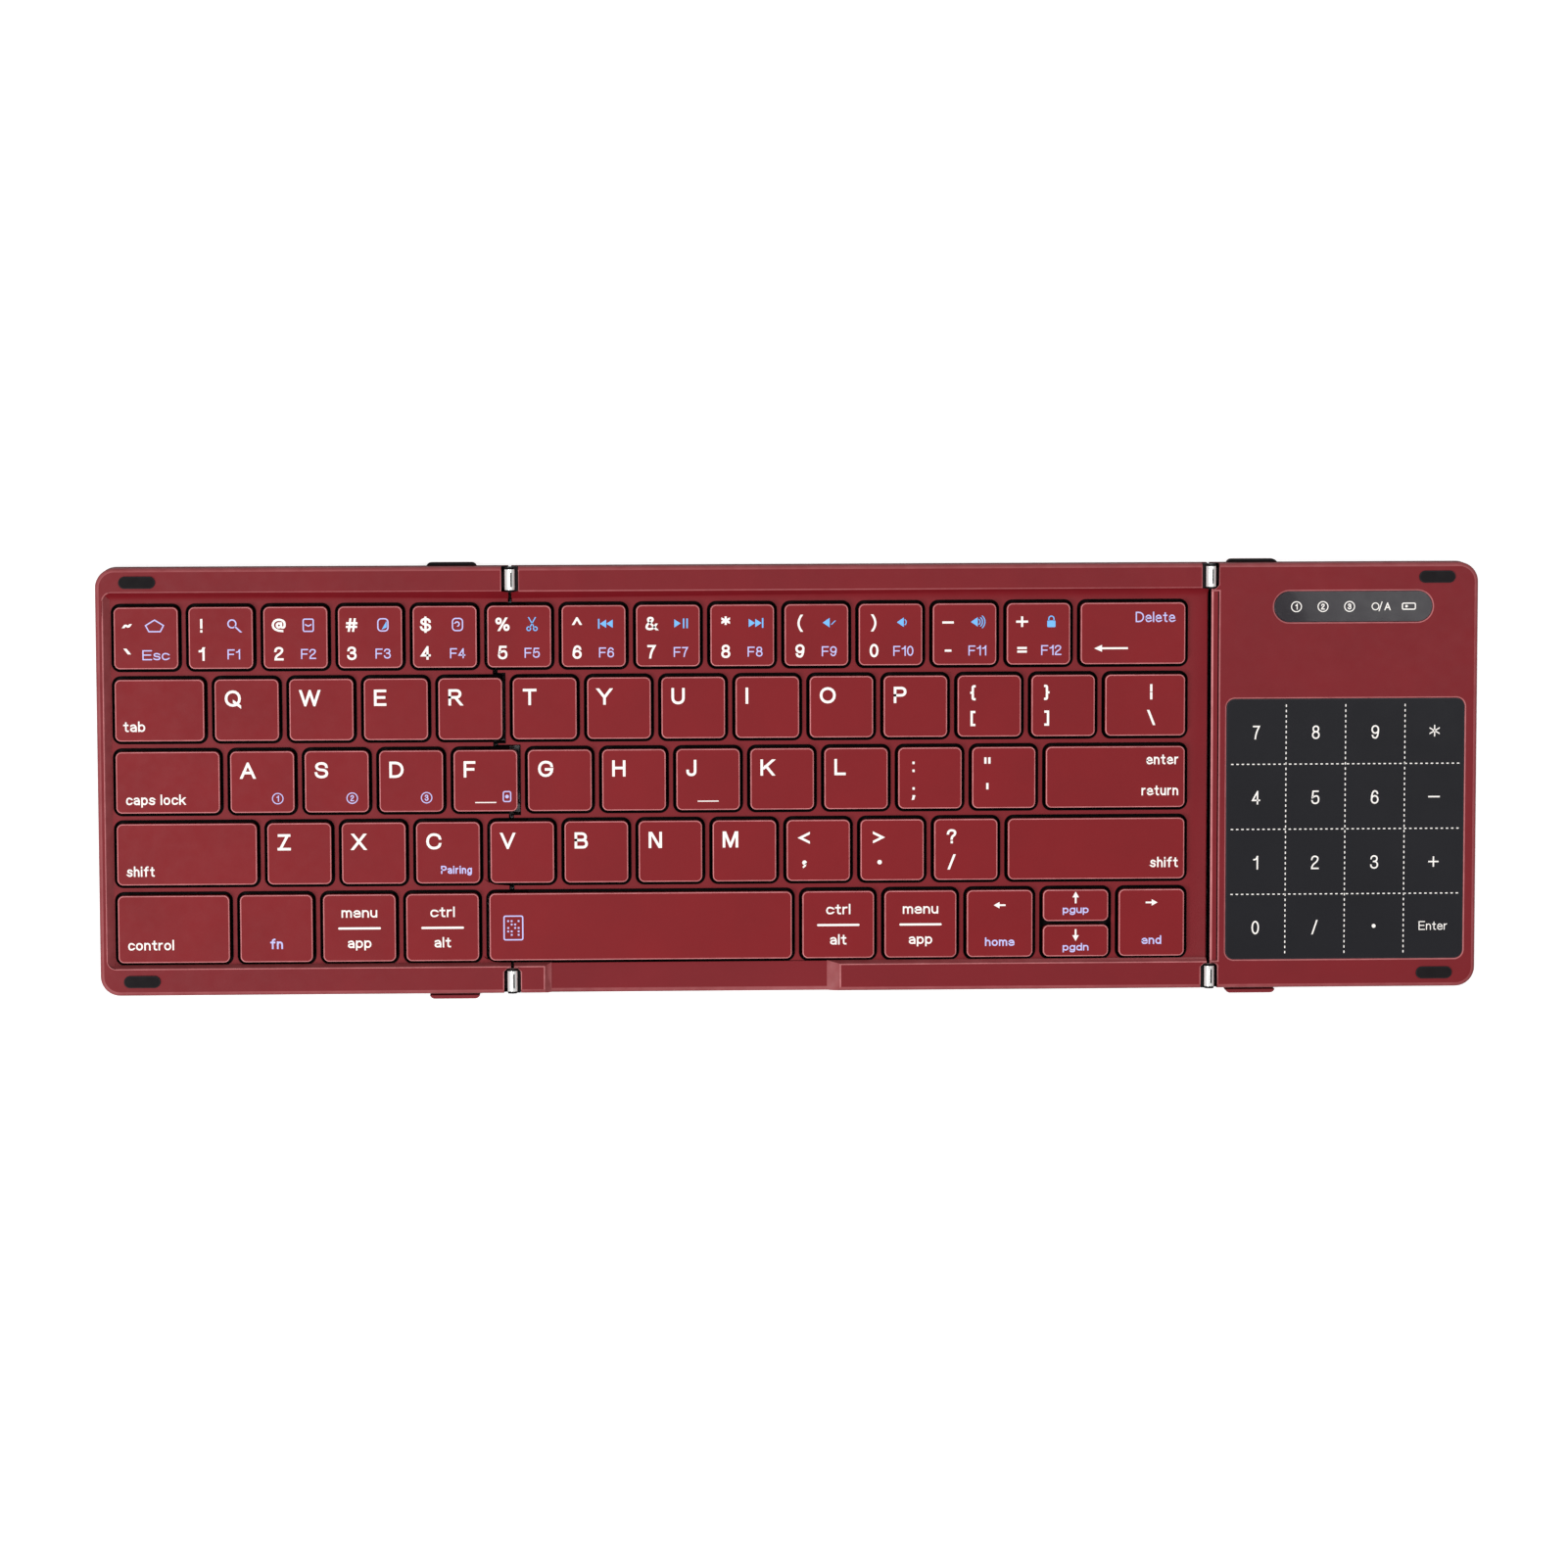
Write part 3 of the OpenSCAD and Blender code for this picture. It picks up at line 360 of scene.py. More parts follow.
def plan_box(points):
    xs, ys = [v.co.x for v in points], [v.co.y for v in points]
    return min(xs), min(ys), max(xs), max(ys)


def cap_boxes(node):
    """(x0, y0, x1, y1) of each cap in a key node: rows from the rear, each from the left."""
    bm = cad_mesh(node)
    boxes = [plan_box(points) for points in solids(bm)]
    bm.free()
    middle = {b: (b[1] + b[3]) / 2 for b in boxes}
    return sorted(boxes, key=lambda b: (-round(middle[b] / ROW_PITCH), round(b[0], 1), -middle[b]))


KEY_NODES = sorted(n for n in NODES if SLOT_OF[n] == "keycap_red")
CAPS = {n: cap_boxes(n) for n in KEY_NODES}


def by_cap_corner(p):
    """The point is a corner of an opening round a cap."""
    return any(min(abs(p.x - x0 + HOLE_GAP), abs(p.x - x1 - HOLE_GAP)) < CLOSE
               and min(abs(p.y - y0 + HOLE_GAP), abs(p.y - y1 - HOLE_GAP)) < CLOSE
               for boxes in CAPS.values() for x0, y0, x1, y1 in boxes)


def slot_offset(p):
    return min((p.x - x for x in (LEFT_AXIS_X, RIGHT_AXIS_X)), key=abs)


def in_hinge_slot(p):
    """Inside one of the four slots that the barrels turn in."""
    return abs(slot_offset(p)) < SLOT_W / 2 + 0.05 and abs(p.y) > BODY_D / 2 - SLOT_L - 0.05


def by_slot_corner(p):
    return (abs(abs(slot_offset(p)) - SLOT_W / 2) < CLOSE
            and abs(abs(p.y) - BODY_D / 2 + SLOT_L) < CLOSE)


STEEP, NEAR_FLAT = 0.25, 0.97  # how far a face looks up or down: less is a wall, more a flat


def paint_frame_shade_and_highlight(bm):
    """Upright walls inside the outline, the openings' edges and the floors of the hinge slots are
    painted dark as shade. The ramps beside the scoop and the front rim's rear slope get a painted
    highlight."""
    painted_highlight = bm.faces.layers.float["painted_highlight"]
    for f in bm.faces:
        centre = f.calc_center_median()
        tilt = abs(f.normal.z)
        inside = outline_distance(centre) < -0.15
        opening = tilt < NEAR_FLAT and DECK_Z - OPENING_SHADE_W - 0.02 < centre.z < DECK_Z - 0.01
        if inside and (tilt < STEEP or opening) or (
                in_hinge_slot(centre) and PART_Z < centre.z < RIM_Z - 0.5):
            f.material_index = 1
        elif STEEP < tilt < 0.98 and f[painted_highlight] == 0 and f.calc_area() > SLOPE_AREA and centre.z > DECK_Z:
            ramp = abs(f.normal.x) > 0.2
            front_slope = f.normal.y > 0.2 and centre.y < 0
            f[painted_highlight] = RAMP_HIGHLIGHT if ramp and centre.y < 0 else SLOPE_HIGHLIGHT if front_slope else 0.0


def paint_shell_inside_shade(bm):
    """All of a shell but its outside and its underside is painted dark as shade."""
    for f in bm.faces:
        centre = f.calc_center_median()
        if centre.z > FOOT_Z + 0.1 and outline_distance(centre) < -0.3:
            f.material_index = 1


OPENING_SHADE_W = 0.24  # the chamfer round the openings, painted dark as shade
# The least area of a ramp or slope face, and the painted highlight on the scoop's ramps and on the front
# rim's rear slope.
SLOPE_AREA, RAMP_HIGHLIGHT, SLOPE_HIGHLIGHT = 2.0, 0.3, 0.3
HOLE_CORNER_R, SLOT_CORNER_R = 1.85, 0.9
FRAME_CORNERS = [(by_cap_corner, HOLE_CORNER_R), (by_slot_corner, SLOT_CORNER_R)]
# In these rules the fourth number is the share of painted highlight on the rounded faces: the rim's rear and
# right edges get less of it than its front and left, as the light falls, and the openings' chamfers none, as
# they are painted dark as shade.
FRAME_RULES = [
    (lambda e: on_outline(e) and faces_up(e), 0.9, 5, 0.3),
    (lambda e: level(e, RIM_Z) and (e.verts[0].co.y > 0 or e.verts[0].co.x > RIGHT_AXIS_X), 0.2, 3, 0.4),
    (lambda e: level(e, RIM_Z), 0.2, 3, 0.8),
    (lambda e: level(e, RIM_Z - LIP_DROP) and faces_up(e), 0.49, 4, 1.0),
    (lambda e: level(e, DECK_Z) and faces_up(e), OPENING_SHADE_W, 2, 0.0),
    (lambda e: level(e, PART_Z) and on_outline(e), 0.12, 2, 0.2),
]
SHELL_RULES = [
    (lambda e: level(e, FOOT_Z) and on_outline(e), 0.7, 4, 0.6),
    (lambda e: level(e, PART_Z) and on_outline(e), 0.12, 2, 0.2),
]

for node in ("left_top_frame", "centre_top_frame", "right_top_cover"):
    soft_copy(node, FRAME_RULES, FRAME_CORNERS, paint_frame_shade_and_highlight, ("painted_shade_black",))
for node in ("left_base_shell", "centre_base_shell", "right_base_shell"):
    soft_copy(node, SHELL_RULES, (), paint_shell_inside_shade, ("painted_shade_black",))

# ---------------------------------------------------------------- under the keys

WIRE_LOW = 5.5  # of what lies under a cap, only a wire is all above this


def key_over(points):
    """The key node whose cap stands over a solid."""
    x0, y0, x1, y1 = plan_box(points)
    x, y = (x0 + x1) / 2, (y0 + y1) / 2
    return next(key for key, boxes in CAPS.items()
                if any(b[0] < x < b[2] and b[1] < y < b[3] for b in boxes))


def under_keys(node):
    """Domes or links as one piece for each key joint. The wires of the long keys move with
    their caps."""
    bm = cad_mesh(node)
    bm.verts.index_update()
    groups = {}
    for points in solids(bm):
        wire = min(v.co.z for v in points) > WIRE_LOW
        groups.setdefault((key_over(points), wire), set()).update(v.index for v in points)
    for (key, wire), kept in sorted(groups.items()):
        part = bm.copy()
        part.verts.index_update()
        spare = [v for v in part.verts if v.index not in kept]
        bmesh.ops.delete(part, geom=spare, context="VERTS")
        name = f"{node}_{'wires_' if wire else ''}{key}"
        thing = finish_mesh(name, part, (SLOT_OF[node],), BODY_OF[key if wire else node],
                            weighted=False)
        stand_for(thing, node)
        if not wire:
            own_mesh(thing)
    bm.free()


for node in ("left_rubber_domes", "centre_rubber_domes", "left_scissor_links",
             "centre_scissor_links"):
    under_keys(node)

# ---------------------------------------------------------------- pads, feet, panels and rails

# The rounded edges of the pads, feet, touch panel and window get a painted highlight.
for node in ("left_bumper_pads", "right_bumper_pads"):
    soft_copy(node, [(faces_up, 0.22, 3, 0.7)])
soft_copy("rubber_feet", [(lambda e: faces_up(e, -1), 0.2, 3, 0.7)])
for node in ("touch_panel", "indicator_window"):
    soft_copy(node, [(faces_up, 0.12, 2, 0.8)])


def join_rings(bm, rings):
    """Makes the walls between each closed ring of points and the next."""
    made = []
    for a, b in zip(rings, rings[1:]):
        for i in range(len(a)):
            j = (i + 1) % len(a)
            made.append(bm.faces.new((a[i], a[j], b[j], b[i])))
    return made


def prism(bm, loop, z0, z1):
    """An upright solid on an outline that is given anticlockwise."""
    low, high = ([bm.verts.new((x, y, z)) for x, y in loop] for z in (z0, z1))
    bm.faces.new(low[::-1])
    bm.faces.new(high)
    join_rings(bm, [low, high])


def arc(x, y, r, deg0, deg1, steps=8):
    return [(x + r * math.cos(math.radians(deg0 + (deg1 - deg0) * i / steps)),
             y + r * math.sin(math.radians(deg0 + (deg1 - deg0) * i / steps)))
            for i in range(steps + 1)]


def box_loop(x0, y0, x1, y1):
    return [(x0, y0), (x1, y0), (x1, y1), (x0, y1)]


def round_box(x0, y0, x1, y1, r, steps=5):
    loop = []
    for cx, cy, deg in ((x1 - r, y1 - r, 0), (x0 + r, y1 - r, 90), (x0 + r, y0 + r, 180),
                        (x1 - r, y0 + r, 270)):
        loop += arc(cx, cy, r, deg, deg + 90, steps)
    return loop


# The rails: the front end turns up behind a gap, the rear end close to the body in dark rubber as a painted
# shade.
RAIL_R, RAIL_END_T, RAIL_REAR = 1.2, 0.8, 0.7
RAIL_GAP, RAIL_LAP = 0.05, 0.1  # from the body to the rear end, and of the ends with the strip


def foot_rail(node):
    low, high = (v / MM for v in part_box(node))
    bm = bmesh.new()
    rear, inner = BODY_D / 2 + RAIL_REAR, BODY_D / 2 + RAIL_GAP
    left, right, front = low.x + RAIL_R, high.x - RAIL_R, low.y + RAIL_R
    prism(bm, round_box(low.x, low.y, high.x, rear, RAIL_R), 0, FOOT_Z)
    side = math.degrees(math.asin((front - (low.y + RAIL_END_T)) / RAIL_R))
    prism(bm, arc(left, front, RAIL_R, 180 + side, 270) + arc(right, front, RAIL_R, 270, 360 - side),
          FOOT_Z - RAIL_LAP, high.z)
    at = len(bm.faces)
    side = math.degrees(math.asin((inner - rear + RAIL_R) / RAIL_R))
    prism(bm, arc(right, rear - RAIL_R, RAIL_R, side, 90)
          + arc(left, rear - RAIL_R, RAIL_R, 90, 180 - side), FOOT_Z - RAIL_LAP, high.z)
    # The rear end's faces take the dark rubber as a painted shade, and the ends' top edges get a painted
    # highlight.
    bm.faces.ensure_lookup_table()
    for f in bm.faces[at:]:
        f.material_index = 1
    soften(bm, [(lambda e: faces_up(e) and level(e, high.z), 0.2, 3, 0.8)])
    stand_for(finish_mesh(node + "_soft", bm, ("rail_plastic", "black_rubber"), BODY_OF[node]), node)


foot_rail("left_foot_rail")
foot_rail("right_foot_rail")

# A dark strip at the foot of the right cover's step, beside the seam: a painted shade
LIP_SHADE_W, LIP_SHADE_END, LIP_SHADE_SUNK, LIP_SHADE_PROUD = 0.28, 42.7, 0.1, 0.02
bm = bmesh.new()
prism(bm, box_loop(LIP_EDGE_X - LIP_SHADE_W, -LIP_SHADE_END, LIP_EDGE_X + LIP_SHADE_PROUD, LIP_SHADE_END),
      RIM_Z - LIP_DROP - LIP_SHADE_SUNK, RIM_Z - LIP_DROP + LIP_SHADE_PROUD)
finish_mesh("lip_step_shade", bm, ("painted_shade_black",), "right_panel", weighted=False)

# ---------------------------------------------------------------- keycaps

CAP_FILLET, HALF_KEY_REACH = 0.25, 0.34
# The cap's rounded top edge gets the full painted highlight.
CAP_RULES = [(lambda e: level(e, CAP_Z) and faces_up(e), CAP_FILLET, 4, 1.0)]


def close_half_keys(bm):
    """The two half keys among the arrows reach closer to each other."""
    for (x0, y0, x1, y1), way in zip(CAPS["arrow_keys"][1:3], (-1, 1)):
        for v in bm.verts:
            near_edge = (v.co.y - (y0 + y1) / 2) * way > 0
            if x0 - 0.1 < v.co.x < x1 + 0.1 and y0 - 0.1 < v.co.y < y1 + 0.1 and near_edge:
                v.co.y += way * HALF_KEY_REACH


for node in KEY_NODES:
    soft_copy(node, CAP_RULES, extra=close_half_keys if node == "arrow_keys" else None)

# ---------------------------------------------------------------- hinges


def lathe(bm, profile, x, y, z, steps=40):
    """Turns (radius, along) points round the Y direction line through x, y, z."""
    rings = [[bm.verts.new((x + radius * math.cos(2 * math.pi * i / steps), y + along,
                            z + radius * math.sin(2 * math.pi * i / steps))) for i in range(steps)]
             for radius, along in profile]
    join_rings(bm, rings + rings[:1])


BARREL_L, BARREL_BORE_R = 4.7, 0.54
TURNED_R = BARREL_R - 0.005  # a round barrel stays inside the many-sided one of the CAD
END_CHAMFER, GROOVE_AT, GROOVE_W, GROOVE_D, GROOVE_SLOPE = 0.16, 0.5, 0.24, 0.14, 0.05
SLIT_X, SLIT_W, SLIT_L = 0.2, 0.3, 3.3  # the rolled barrel's joint, right of the middle
SLIT_LOW, SLIT_TOP = 0.2, 0.01  # below the barrel's top
GROOVE_BAND = (BARREL_R - 0.3, BARREL_R - 0.1)  # a groove's floor and slopes lie between these; they are painted dark as shade


def barrel_profile():
    """Half open tube section: end chamfers and a turned groove near each end."""
    r, floor_r = TURNED_R, TURNED_R - GROOVE_D
    half = [(BARREL_BORE_R, 0), (r - END_CHAMFER, 0), (r, END_CHAMFER), (r, GROOVE_AT),
            (floor_r, GROOVE_AT + GROOVE_SLOPE), (floor_r, GROOVE_AT + GROOVE_W - GROOVE_SLOPE),
            (r, GROOVE_AT + GROOVE_W)]
    return half + [(radius, BARREL_L - along) for radius, along in reversed(half)]


def off_axis(p, axis_x):
    return math.hypot(p.x - axis_x, p.z - AXIS_Z)


def add_barrel(bm, axis_x, y0):
    """A bright barrel with its grooves painted dark as shade and its dark slit, added to the knuckles' mesh.
    """
    ring = bmesh.new()
    lathe(ring, barrel_profile(), axis_x, y0, AXIS_Z)
    at = len(ring.faces)
    x, y = axis_x + SLIT_X, y0 + BARREL_L / 2
    prism(ring, box_loop(x, y - SLIT_L / 2, x + SLIT_W, y + SLIT_L / 2),
          AXIS_Z + BARREL_R - SLIT_LOW, AXIS_Z + BARREL_R - SLIT_TOP)
    bmesh.ops.recalc_face_normals(ring, faces=ring.faces)
    ring.faces.ensure_lookup_table()
    for i, f in enumerate(ring.faces):
        if i >= at or GROOVE_BAND[0] < off_axis(f.calc_center_median(), axis_x) < GROOVE_BAND[1]:
            f.material_index = 1
    copy = bpy.data.meshes.new("barrel")
    ring.to_mesh(copy)
    ring.free()
    bm.from_mesh(copy)
    bpy.data.meshes.remove(copy)


for side, axis_x in (("left", LEFT_AXIS_X), ("right", RIGHT_AXIS_X)):
    node = side + "_hinge_knuckles"
    bm = cad_mesh(node)
    ends = sorted({round(v.co.y, 2) for v in bm.verts if off_axis(v.co, axis_x) < BARREL_R + 0.02})
    # The knuckles' parts beyond the barrels' radius are painted dark as shade.
    for f in bm.faces:
        if off_axis(f.calc_center_median(), axis_x) > BARREL_R:
            f.material_index = 1
    for y0 in (ends[0], ends[-1] - BARREL_L):
        add_barrel(bm, axis_x, y0)
    stand_for(finish_mesh(node + "_turned", bm, ("hinge_chrome", "painted_shade_black"), BODY_OF[node]), node)

# ---------------------------------------------------------------- flex cables


FLEX_PARTS, FLEX_HELD = 48, 1.0  # steps along a cable, and its straight length at each end
flex = cad_mesh("flex_cables")
flex_x, flex_y, flex_z = (sorted({round(v.co[axis], 3) for v in flex.verts}) for axis in range(3))
flex.free()


def flex_strip(name, x0, x1):
    """A flat cable in short steps, so that it can bend round its fold."""
    bm = bmesh.new()
    (y0, *_, y1), (z0, *_, z1) = flex_y, flex_z
    rings = []
    for i in range(FLEX_PARTS + 1):
        x = x0 + (x1 - x0) * i / FLEX_PARTS
        rings.append([bm.verts.new(p) for p in ((x, y0, z0), (x, y1, z0), (x, y1, z1), (x, y0, z1))])
    join_rings(bm, rings)
    bm.faces.new(rings[0][::-1])
    bm.faces.new(rings[-1])
    bmesh.ops.recalc_face_normals(bm, faces=bm.faces)
    return finish_mesh(name, bm, ("flex_amber",), None, weighted=False)


for side, near, far, out in (("left", flex_x[1], flex_x[0], -1), ("right", flex_x[2], flex_x[3], 1)):
    cable = flex_strip("flex_cable_" + side, min(near, far), max(near, far))
    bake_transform(cable, "centre_panel", side + "_panel", start=((near + out * FLEX_HELD) * MM, 0, 0),
             end=((far - out * FLEX_HELD) * MM, 0, 0))
    if side == "left":
        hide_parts("flex_cables")

# ---------------------------------------------------------------- printed marks

INK_T, INK_SUNK = 0.05, 0.02  # how thick the ink is, and how much of that is in the surface
STROKE_LIFT = 0.003  # each further stroke of a sign lies this much higher
LETTER_GAP, SPACE_W = 0.13, 12  # between letters, in heights, and a space's width in hundredths


# Signs as strokes: x,y points and how far a corner is rounded, all in hundredths of a capital's
# height between the middles of its strokes. A leading c closes the line. A leading o draws a
# fully rounded loop between two opposite corners.
FONT = dict(line.split(" ", 1) for line in r"""
A 0,0 38,100 76,0;13,33 63,33
B 0,0 0,100 60,100,30 60,52,24 0,52;30,52 66,52,26 66,0,26 0,0
C 76,72 76,100,99 0,100,99 0,0,99 76,0,99 76,28
D c0,0 0,100 72,100,50 72,0,50
E 60,100 0,100 0,0 60,0;0,52 54,52
F 56,100 0,100 0,0;0,50 50,50
G 76,72 76,100,99 0,100,99 0,0,99 78,0,99 78,46 42,46
H 0,0 0,100;66,0 66,100;0,53 66,53
I 0,0 0,100
J 46,100 46,0,24 0,0,24 0,28
K 0,0 0,100;66,100 13,45;30,56 68,0
L 0,100 0,0 54,0
M 0,0 0,100;7,100 40,0 73,100;80,100 80,0
N 0,0 0,100;8,100 58,0;66,0 66,100
O o0,0 83,100
P 0,0 0,100 63,100,28 63,47,28 0,47
Q o0,0 83,100;50,24 84,-6
R 0,0 0,100 64,100,27 64,50,27 0,50;34,50 68,0
S 63,76 63,100,99 2,100,99 2,52,99 66,52,99 66,0,99 0,0,99 0,26
T 0,100 68,100;34,100 34,0
U 0,100 0,0,36 66,0,36 66,100
V 0,100 37,0 74,100
W 0,100 28,0 56,100 84,0 112,100
X 2,100 70,0;0,0 68,100
Y 0,100 37,44 74,100;37,44 37,0
Z 2,100 64,100;0,0 66,0;55,100 9,0
0 o0,0 50,100
1 4,75 20,77,8 32,100;32,0 32,100
2 2,74 2,100,99 52,100,99 52,60,50 2,26,26 2,0 54,0
3 2,78 2,100,99 50,100,99 50,54,99 22,54;28,54 54,54,99 54,0,99 0,0,99 0,24
4 40,0 40,100 0,28 56,28
5 48,100 8,100 2,46 20,62,20 54,62,30 54,0,99 0,0,99 0,22
6 o0,0 52,60;48,80 48,100,99 0,100,99 0,30
7 0,100 46,100 20,46,30 14,0
8 o4,54 48,100;o0,0 52,54
9 o0,40 52,100;4,20 4,0,99 52,0,99 52,70
a 2,60 8,68,30 44,68,40 44,0;44,37 0,37,30 0,0,30 44,0,50 44,20
b 0,100 0,0;o0,0 48,68
c 45,56 40,68,60 0,68,99 0,0,99 40,0,60 45,12
d 48,100 48,0;o0,0 48,68
e 2,36 50,36 50,68,99 0,68,99 0,0,99 42,0,60 49,9
f 36,100 16,100,20 16,0;0,66 34,66
g o0,0 48,68;48,68 48,-27,30 2,-27,30 2,-16
h 0,100 0,0;0,40 0,68,30 44,68,30 44,0
i 0,0 0,68;0,94 0,98
k 0,100 0,0;42,68 11,33;20,40 46,0
l 0,0 0,100
m 0,0 0,68;0,40 0,68,24 36,68,24 36,0;36,40 36,68,24 72,68,24 72,0
n 0,0 0,68;0,40 0,68,30 44,68,30 44,0
o o0,0 50,68
p 0,68 0,-27;o0,0 48,68
r 0,0 0,68;0,36 0,68,30 26,68
s 40,58 34,68,50 2,68,99 2,35,99 42,35,99 42,0,99 6,0,50 0,10
t 16,92 16,0,16 34,0;0,66 32,66
u 0,68 0,0,30 44,0,30 44,68;44,68 44,0
~ 0,42 10,58,12 34,42,12 44,58
` 0,104 16,80
! 0,34 0,100;0,0 0,2
@ o30,32 62,68;62,68 62,30,14 88,30,20 88,100,99 0,100,99 0,0,99 70,0
# 14,0 26,100;46,0 58,100;2,66 70,66;0,34 68,34
$ 63,76 63,100,99 2,100,99 2,52,99 66,52,99 66,0,99 0,0,99 0,26;32,112 32,-12
% o0,58 32,100;o58,0 90,42;70,100 20,0
^ 0,50 25,100 50,50
& 72,0 10,76,12 14,100,20 46,100,20 46,72,20 0,40,30 0,0,99 50,0,40 70,40
* 20,44 20,100;-4,58 44,86;-4,86 44,58
( 20,112 0,80,60 0,10,60 20,-20
) 0,112 20,80,60 20,10,60 0,-20
- 0,46 34,46
— 0,46 70,46
− 0,50 84,50
+ 0,50 74,50;37,13 37,87
= 0,66 56,66;0,34 56,34
{ 22,104 10,104,10 10,50,8 0,50;0,50 10,50,8 10,-4,10 22,-4
} 0,104 12,104,10 12,50,8 22,50;22,50 12,50,8 12,-4,10 0,-4
[ 18,104 0,104 0,-4 18,-4
] 0,104 18,104 18,-4 0,-4
¦ 0,62 0,104;0,-4 0,38
\ 0,104 36,-4
/ 0,-4 36,104
: 0,0 0,2;0,66 0,68
; 0,66 0,68;0,0 0,2;2,0 -3,-18
" 0,66 0,100;28,66 28,100
' 0,66 0,100
< 60,80 0,45 60,10
> 0,80 60,45 0,10
? 0,74 0,100,99 50,100,99 50,62,30 26,48,20 26,30;26,0 26,2
""".strip().splitlines())
ROUND = 0.58  # how square the bends are: 0.55 is a circle's quarter
FULL = 99.0  # a radius that rounds a corner as far as its sides allow
BEND_STEPS = 4
STEEP_END = 0.6  # a stroke that rises more than this is cut level
PEAK_RISE, PEAK_COSINE, MITRE_LEAST = 0.5, 0.75, 0.12  # what a sharp peak is, and a mitre's limit


def bend(points, closed):
    """The centre line through (x, y, radius) points, as points with rounded corners."""
    n = len(points)
    line = []
    for i, (x, y, r) in enumerate(points):
        ends = not closed and i in (0, n - 1)
        if not r or ends:
            line.append((x, y))
            continue
        reach = []
        for other in (points[i - 1], points[(i + 1) % n]):
            dx, dy = other[0] - x, other[1] - y
            size = math.hypot(dx, dy)
            limit = size / 2 if other[2] else size
            a = min(r, limit)
            reach.append((dx / size * a, dy / size * a))
        (ax, ay), (bx, by) = reach
        k = 1 - ROUND
        for s in range(BEND_STEPS + 1):
            t = s / BEND_STEPS
            c = ((1 - t) ** 3, 3 * t * (1 - t) ** 2, 3 * t * t * (1 - t), t ** 3)
            line.append((x + c[0] * ax + c[1] * ax * k + c[2] * bx * k + c[3] * bx,
                         y + c[0] * ay + c[1] * ay * k + c[2] * by * k + c[3] * by))
    out = []
    for p in line:
        if not out or math.hypot(p[0] - out[-1][0], p[1] - out[-1][1]) > 0.01:
            out.append(p)
    if closed and math.hypot(out[0][0] - out[-1][0], out[0][1] - out[-1][1]) < 0.01:
        out.pop()
    return out


def edges(line, width, closed):
    """(left, right) points beside a centre line. Steep ends and peaks are cut level, and flat
    ends upright, half a width past the line's own points."""
    h = width / 2
    n = len(line)
    dirs = []
    for i in range(n if closed else n - 1):
        a, b = line[i], line[(i + 1) % n]
        size = math.hypot(b[0] - a[0], b[1] - a[1])
        dirs.append(((b[0] - a[0]) / size, (b[1] - a[1]) / size))
    pairs = []
    for i, (x, y) in enumerate(line):
        if not closed and i in (0, n - 1):
            tx, ty = dirs[0] if i == 0 else dirs[-1]
            way = -1 if i == 0 else 1
            pair = []
            for side in (1, -1):
                px, py = x - side * ty * h, y + side * tx * h
                if abs(ty) >= STEEP_END:
                    k = (y + way * math.copysign(h, ty) - py) / ty
                else:
                    k = (x + way * math.copysign(h, tx) - px) / tx
                pair.append((px + tx * k, py + ty * k))
            pairs.append(tuple(pair))
            continue
        (ax, ay), (bx, by) = dirs[i - 1], dirs[i % len(dirs)]
        mx, my = -(ay + by), ax + bx
        size = math.hypot(mx, my)
        mx, my = mx / size, my / size
        cosine = mx * -ay + my * ax
        turn = ax * by - ay * bx
        far = h / max(cosine, MITRE_LEAST)
        left, right = (x + mx * far, y + my * far), (x - mx * far, y - my * far)
        peak = ay * by < 0 and min(abs(ay), abs(by)) > PEAK_RISE and cosine < PEAK_COSINE
        if not peak:
            pairs.append((left, right))
            continue
        side = -1 if turn > 0 else 1  # the outer side
        flat = y + math.copysign(h, ay)
        cut = []
        for dx, dy in ((ax, ay), (bx, by)):
            px, py = x - side * dy * h, y + side * dx * h
            k = (flat - py) / dy
            cut.append((px + dx * k, py + dy * k))
        for point in cut:
            pairs.append((point, right) if side > 0 else (left, point))
    return pairs


def strokes(char):
    """The lines of a sign: their (x, y, radius) points, and whether each line is closed."""
    for part in FONT[char].split(";"):
        points = [[float(a) for a in word.split(",")] for word in part.lstrip("co").split()]
        if part[0] == "o":
            (x0, y0), (x1, y1) = points
            points = [(x, y, FULL) for x, y in ((x0, y0), (x0, y1), (x1, y1), (x1, y0))]
        yield [(*p, 0.0)[:3] for p in points], part[0] in "co"


def glyph_width(char):
    xs = [p[0] for points, _ in strokes(char) for p in points]
    return min(xs), max(xs)


